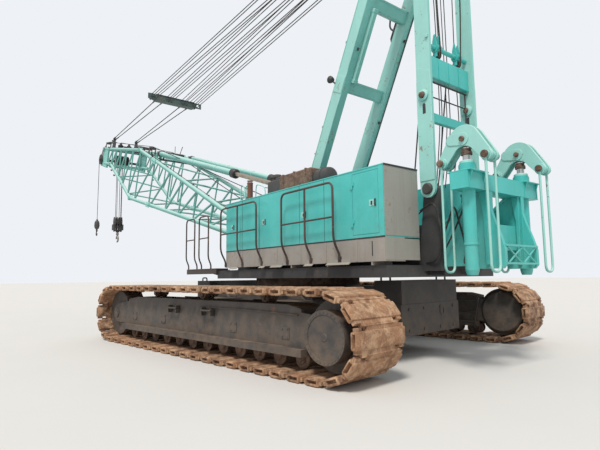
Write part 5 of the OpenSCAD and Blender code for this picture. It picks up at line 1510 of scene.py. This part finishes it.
class CRANE_OT_equalizers(bpy.types.Operator):
    """Build the arched equalizers of the lifting device with their links"""
    bl_idname = "crane.equalizers"
    bl_label = "Equalizers"

    def execute(self, context):
        def arc(x, z, radius, start, end, steps=10):
            turns = [math.radians(start + (end - start) * k / steps) for k in range(steps + 1)]
            return [(LIFT_X + x + radius * math.cos(a), EQUALIZER_PIN + z + radius * math.sin(a))
                    for a in turns]

        arch = (arc(-LINK_REACH, -0.32, 0.095, 340, 150) + arc(0, -0.06, 0.28, 145, 35)
                + arc(LINK_REACH, -0.32, 0.095, 30, -160) + arc(0, -0.30, 0.19, 30, 150))
        for side, name in ((1, "left"), (-1, "right")):
            y = side * LIFT_Y
            parts = [side_plate(arch, y + low, y + low + 0.04, 0.005) for low in (-0.09, 0.05)]
            for dx in (-LINK_REACH, LINK_REACH):
                x = LIFT_X + dx
                parts.append(rod((x, y - 0.15, LINK_PIN), (x, y + 0.15, LINK_PIN), 0.032, 16))
                parts.append(pipe([(x, y - 0.12, LINK_PIN), (x, y - 0.12, 1.55), (x, y + 0.12, 1.55),
                        (x, y + 0.12, LINK_PIN)], 0.02, 0.11, 10))
                for dy in (-0.12, 0.12):
                    parts.append(turned(band(0.03, 0.06, -0.02, 0.02), (x, y + dy, LINK_PIN), "Y", 20))
                parts.append(turned(band(0.03, 0.07, -0.042, 0.042), (x, y, LINK_PIN), "Y", 24))
            parts.append(rod((LIFT_X, y - 0.1, EQUALIZER_PIN), (LIFT_X, y + 0.1, EQUALIZER_PIN), 0.04, 16))
            lobe = arc(0, 0, 0.1, 90, 270) + arc(0.2, 0.02, 0.085, -90, 90)
            parts += [side_plate(lobe, y + low, y + low + 0.014, 0.003) for low in (-0.104, 0.09)]
            upper_piece(f"equalizer_arches_{name}", parts, "light", f"equalizer_{name}",
                    instead=(f"equalizer_{name}",))

        flares = []
        for j in (-1, 1):
            y = j * 0.48
            for bend in (1, -1):
                flares.append(side_plate([(-5.105, 1.66), (-5.06, 1.66), (-5.05, 2.4), (-4.99, 2.79),
                        (-5.115, 2.79)], y + bend * 0.03, y + bend * 0.075, 0.004))
            flares.append(side_plate([(-5.09, 2.79), (-5.13, 2.6), (-5.2, 2.35), (-5.29, 2.1), (-5.35, 1.9),
                    (-5.35, 1.66), (-5.3, 1.6), (-4.85, 1.6), (-4.85, 2.0), (-5.0, 2.79)], y - 0.031,
                    y + 0.031, 0.004))
            flares.append(side_plate([(-4.9, 2.79), (-4.86, 2.79), (-4.5, 2.5), (-4.32, 2.39),
                    (-4.32, 2.36), (-4.52, 2.46)], y - 0.06, y + 0.06, 0.004))
            flares.append(turned(band(0.07, 0.11, -0.045, 0.045), (-4.75, y, 2.15), "Y", 24))
        flares.append(block((-5.14, -1.06, 2.79), (-4.83, 1.06, 2.802), 0.003))
        upper_piece("lift_frame_flanges", flares, "teal")
        return {"FINISHED"}


class CRANE_OT_stage(bpy.types.Operator):
    """Add the floor, the lights and the camera"""
    bl_idname = "crane.stage"
    bl_label = "Stage"

    def execute(self, context):
        scene, stage = context.scene, context.scene.crane_stage
        scene.view_settings.view_transform = "Standard"
        deselect()
        bpy.ops.mesh.primitive_plane_add(size=400, location=(0, 0, -0.004))
        floor = context.object
        floor.name = "floor"
        apply_place()
        g = Graph("Pale floor", (0.62, 0.60, 0.57), 0.9)
        g.set(color=g.mix(g.step(g.noise(0.5, 3), 0.3, 0.7) * 0.15, (0.62, 0.60, 0.57), (0.56, 0.54, 0.51)))
        floor.data.materials.append(g.material)

        world = bpy.data.worlds.new("Studio")
        scene.world = world
        world.use_nodes = True
        tree = world.node_tree
        background = tree.nodes["Background"]
        background.inputs["Color"].default_value = (0.93, 0.96, 1, 1)
        rays = tree.nodes.new("ShaderNodeLightPath")
        seen = tree.nodes.new("ShaderNodeMath")
        seen.operation = "MAXIMUM"
        tree.links.new(rays.outputs["Is Camera Ray"], seen.inputs[0])
        tree.links.new(rays.outputs["Is Transmission Ray"], seen.inputs[1])
        strength = tree.nodes.new("ShaderNodeMapRange")
        strength.inputs["To Min"].default_value = stage.fill_power
        strength.inputs["To Max"].default_value = 0.92
        tree.links.new(seen.outputs[0], strength.inputs["Value"])
        tree.links.new(strength.outputs[0], background.inputs["Strength"])

        bpy.ops.object.light_add(type="SUN", location=(0, 0, 20))
        sun = context.object
        sun.name = "Key"
        sun.data.energy = stage.key_power
        sun.data.angle = math.radians(12)
        sun.data.color = (1, 0.97, 0.92)
        sun.rotation_euler = Vector(SUN_WAY).to_track_quat("-Z", "Y").to_euler()

        yaw, pitch, roll = (math.radians(v) for v in CAMERA_TURN)
        forward = Vector((math.cos(yaw) * math.cos(pitch), math.sin(yaw) * math.cos(pitch),
                math.sin(pitch)))
        right = Vector((math.sin(yaw), -math.cos(yaw), 0))
        up = right.cross(forward)
        across = math.cos(roll) * right + math.sin(roll) * up
        upward = -math.sin(roll) * right + math.cos(roll) * up
        turn = Matrix((across, upward, -forward)).transposed().to_4x4()
        bpy.ops.object.camera_add()
        camera = context.object
        camera.name = "Camera"
        camera.data.sensor_width = 36
        camera.data.lens = stage.lens
        camera.data.clip_end = 500
        camera.matrix_world = Matrix.Translation(CAMERA_PLACE) @ turn
        scene.camera = camera
        return {"FINISHED"}


class CRANE_PT_panel(bpy.types.Panel):
    """Sizes, colours and steps of the crawler crane"""
    bl_label = "Crawler crane"
    bl_idname = "CRANE_PT_panel"
    bl_space_type = "VIEW_3D"
    bl_region_type = "UI"
    bl_category = "Crawler crane"

    def draw(self, context):
        for group in (context.scene.crane_paint, context.scene.crane_rigging, context.scene.crane_stage):
            box = self.layout.box()
            for key in group.bl_rna.properties.keys():
                if key not in {"name", "rna_type"}:
                    box.prop(group, key)
        for operator in OPERATORS:
            self.layout.operator(operator.bl_idname)


OPERATORS = (CRANE_OT_cad_finishes, CRANE_OT_tracks, CRANE_OT_crawler_fittings, CRANE_OT_body_fittings,
    CRANE_OT_guard_rails, CRANE_OT_house_fittings, CRANE_OT_hoist_ropes, CRANE_OT_sheaves,
    CRANE_OT_gantry_fittings, CRANE_OT_lift_fittings, CRANE_OT_load_ropes, CRANE_OT_boom_fittings,
    CRANE_OT_bridle_fittings, CRANE_OT_roof_fittings, CRANE_OT_house_seams, CRANE_OT_cab_fittings,
    CRANE_OT_deck_fittings, CRANE_OT_equalizers, CRANE_OT_stage)
CLASSES = (CranePaint, CraneRigging, CraneStage, *OPERATORS, CRANE_PT_panel)


def register():
    for cls in CLASSES:
        bpy.utils.register_class(cls)
    bpy.types.Scene.crane_paint = bpy.props.PointerProperty(type=CranePaint)
    bpy.types.Scene.crane_rigging = bpy.props.PointerProperty(type=CraneRigging)
    bpy.types.Scene.crane_stage = bpy.props.PointerProperty(type=CraneStage)


def unregister():
    del bpy.types.Scene.crane_stage
    del bpy.types.Scene.crane_rigging
    del bpy.types.Scene.crane_paint
    for cls in reversed(CLASSES):
        bpy.utils.unregister_class(cls)


def main():
    register()
    random.seed(7)
    for operator in OPERATORS:
        group, name = operator.bl_idname.split(".")
        getattr(getattr(bpy.ops, group), name)()


if __name__ == "__main__":
    main()
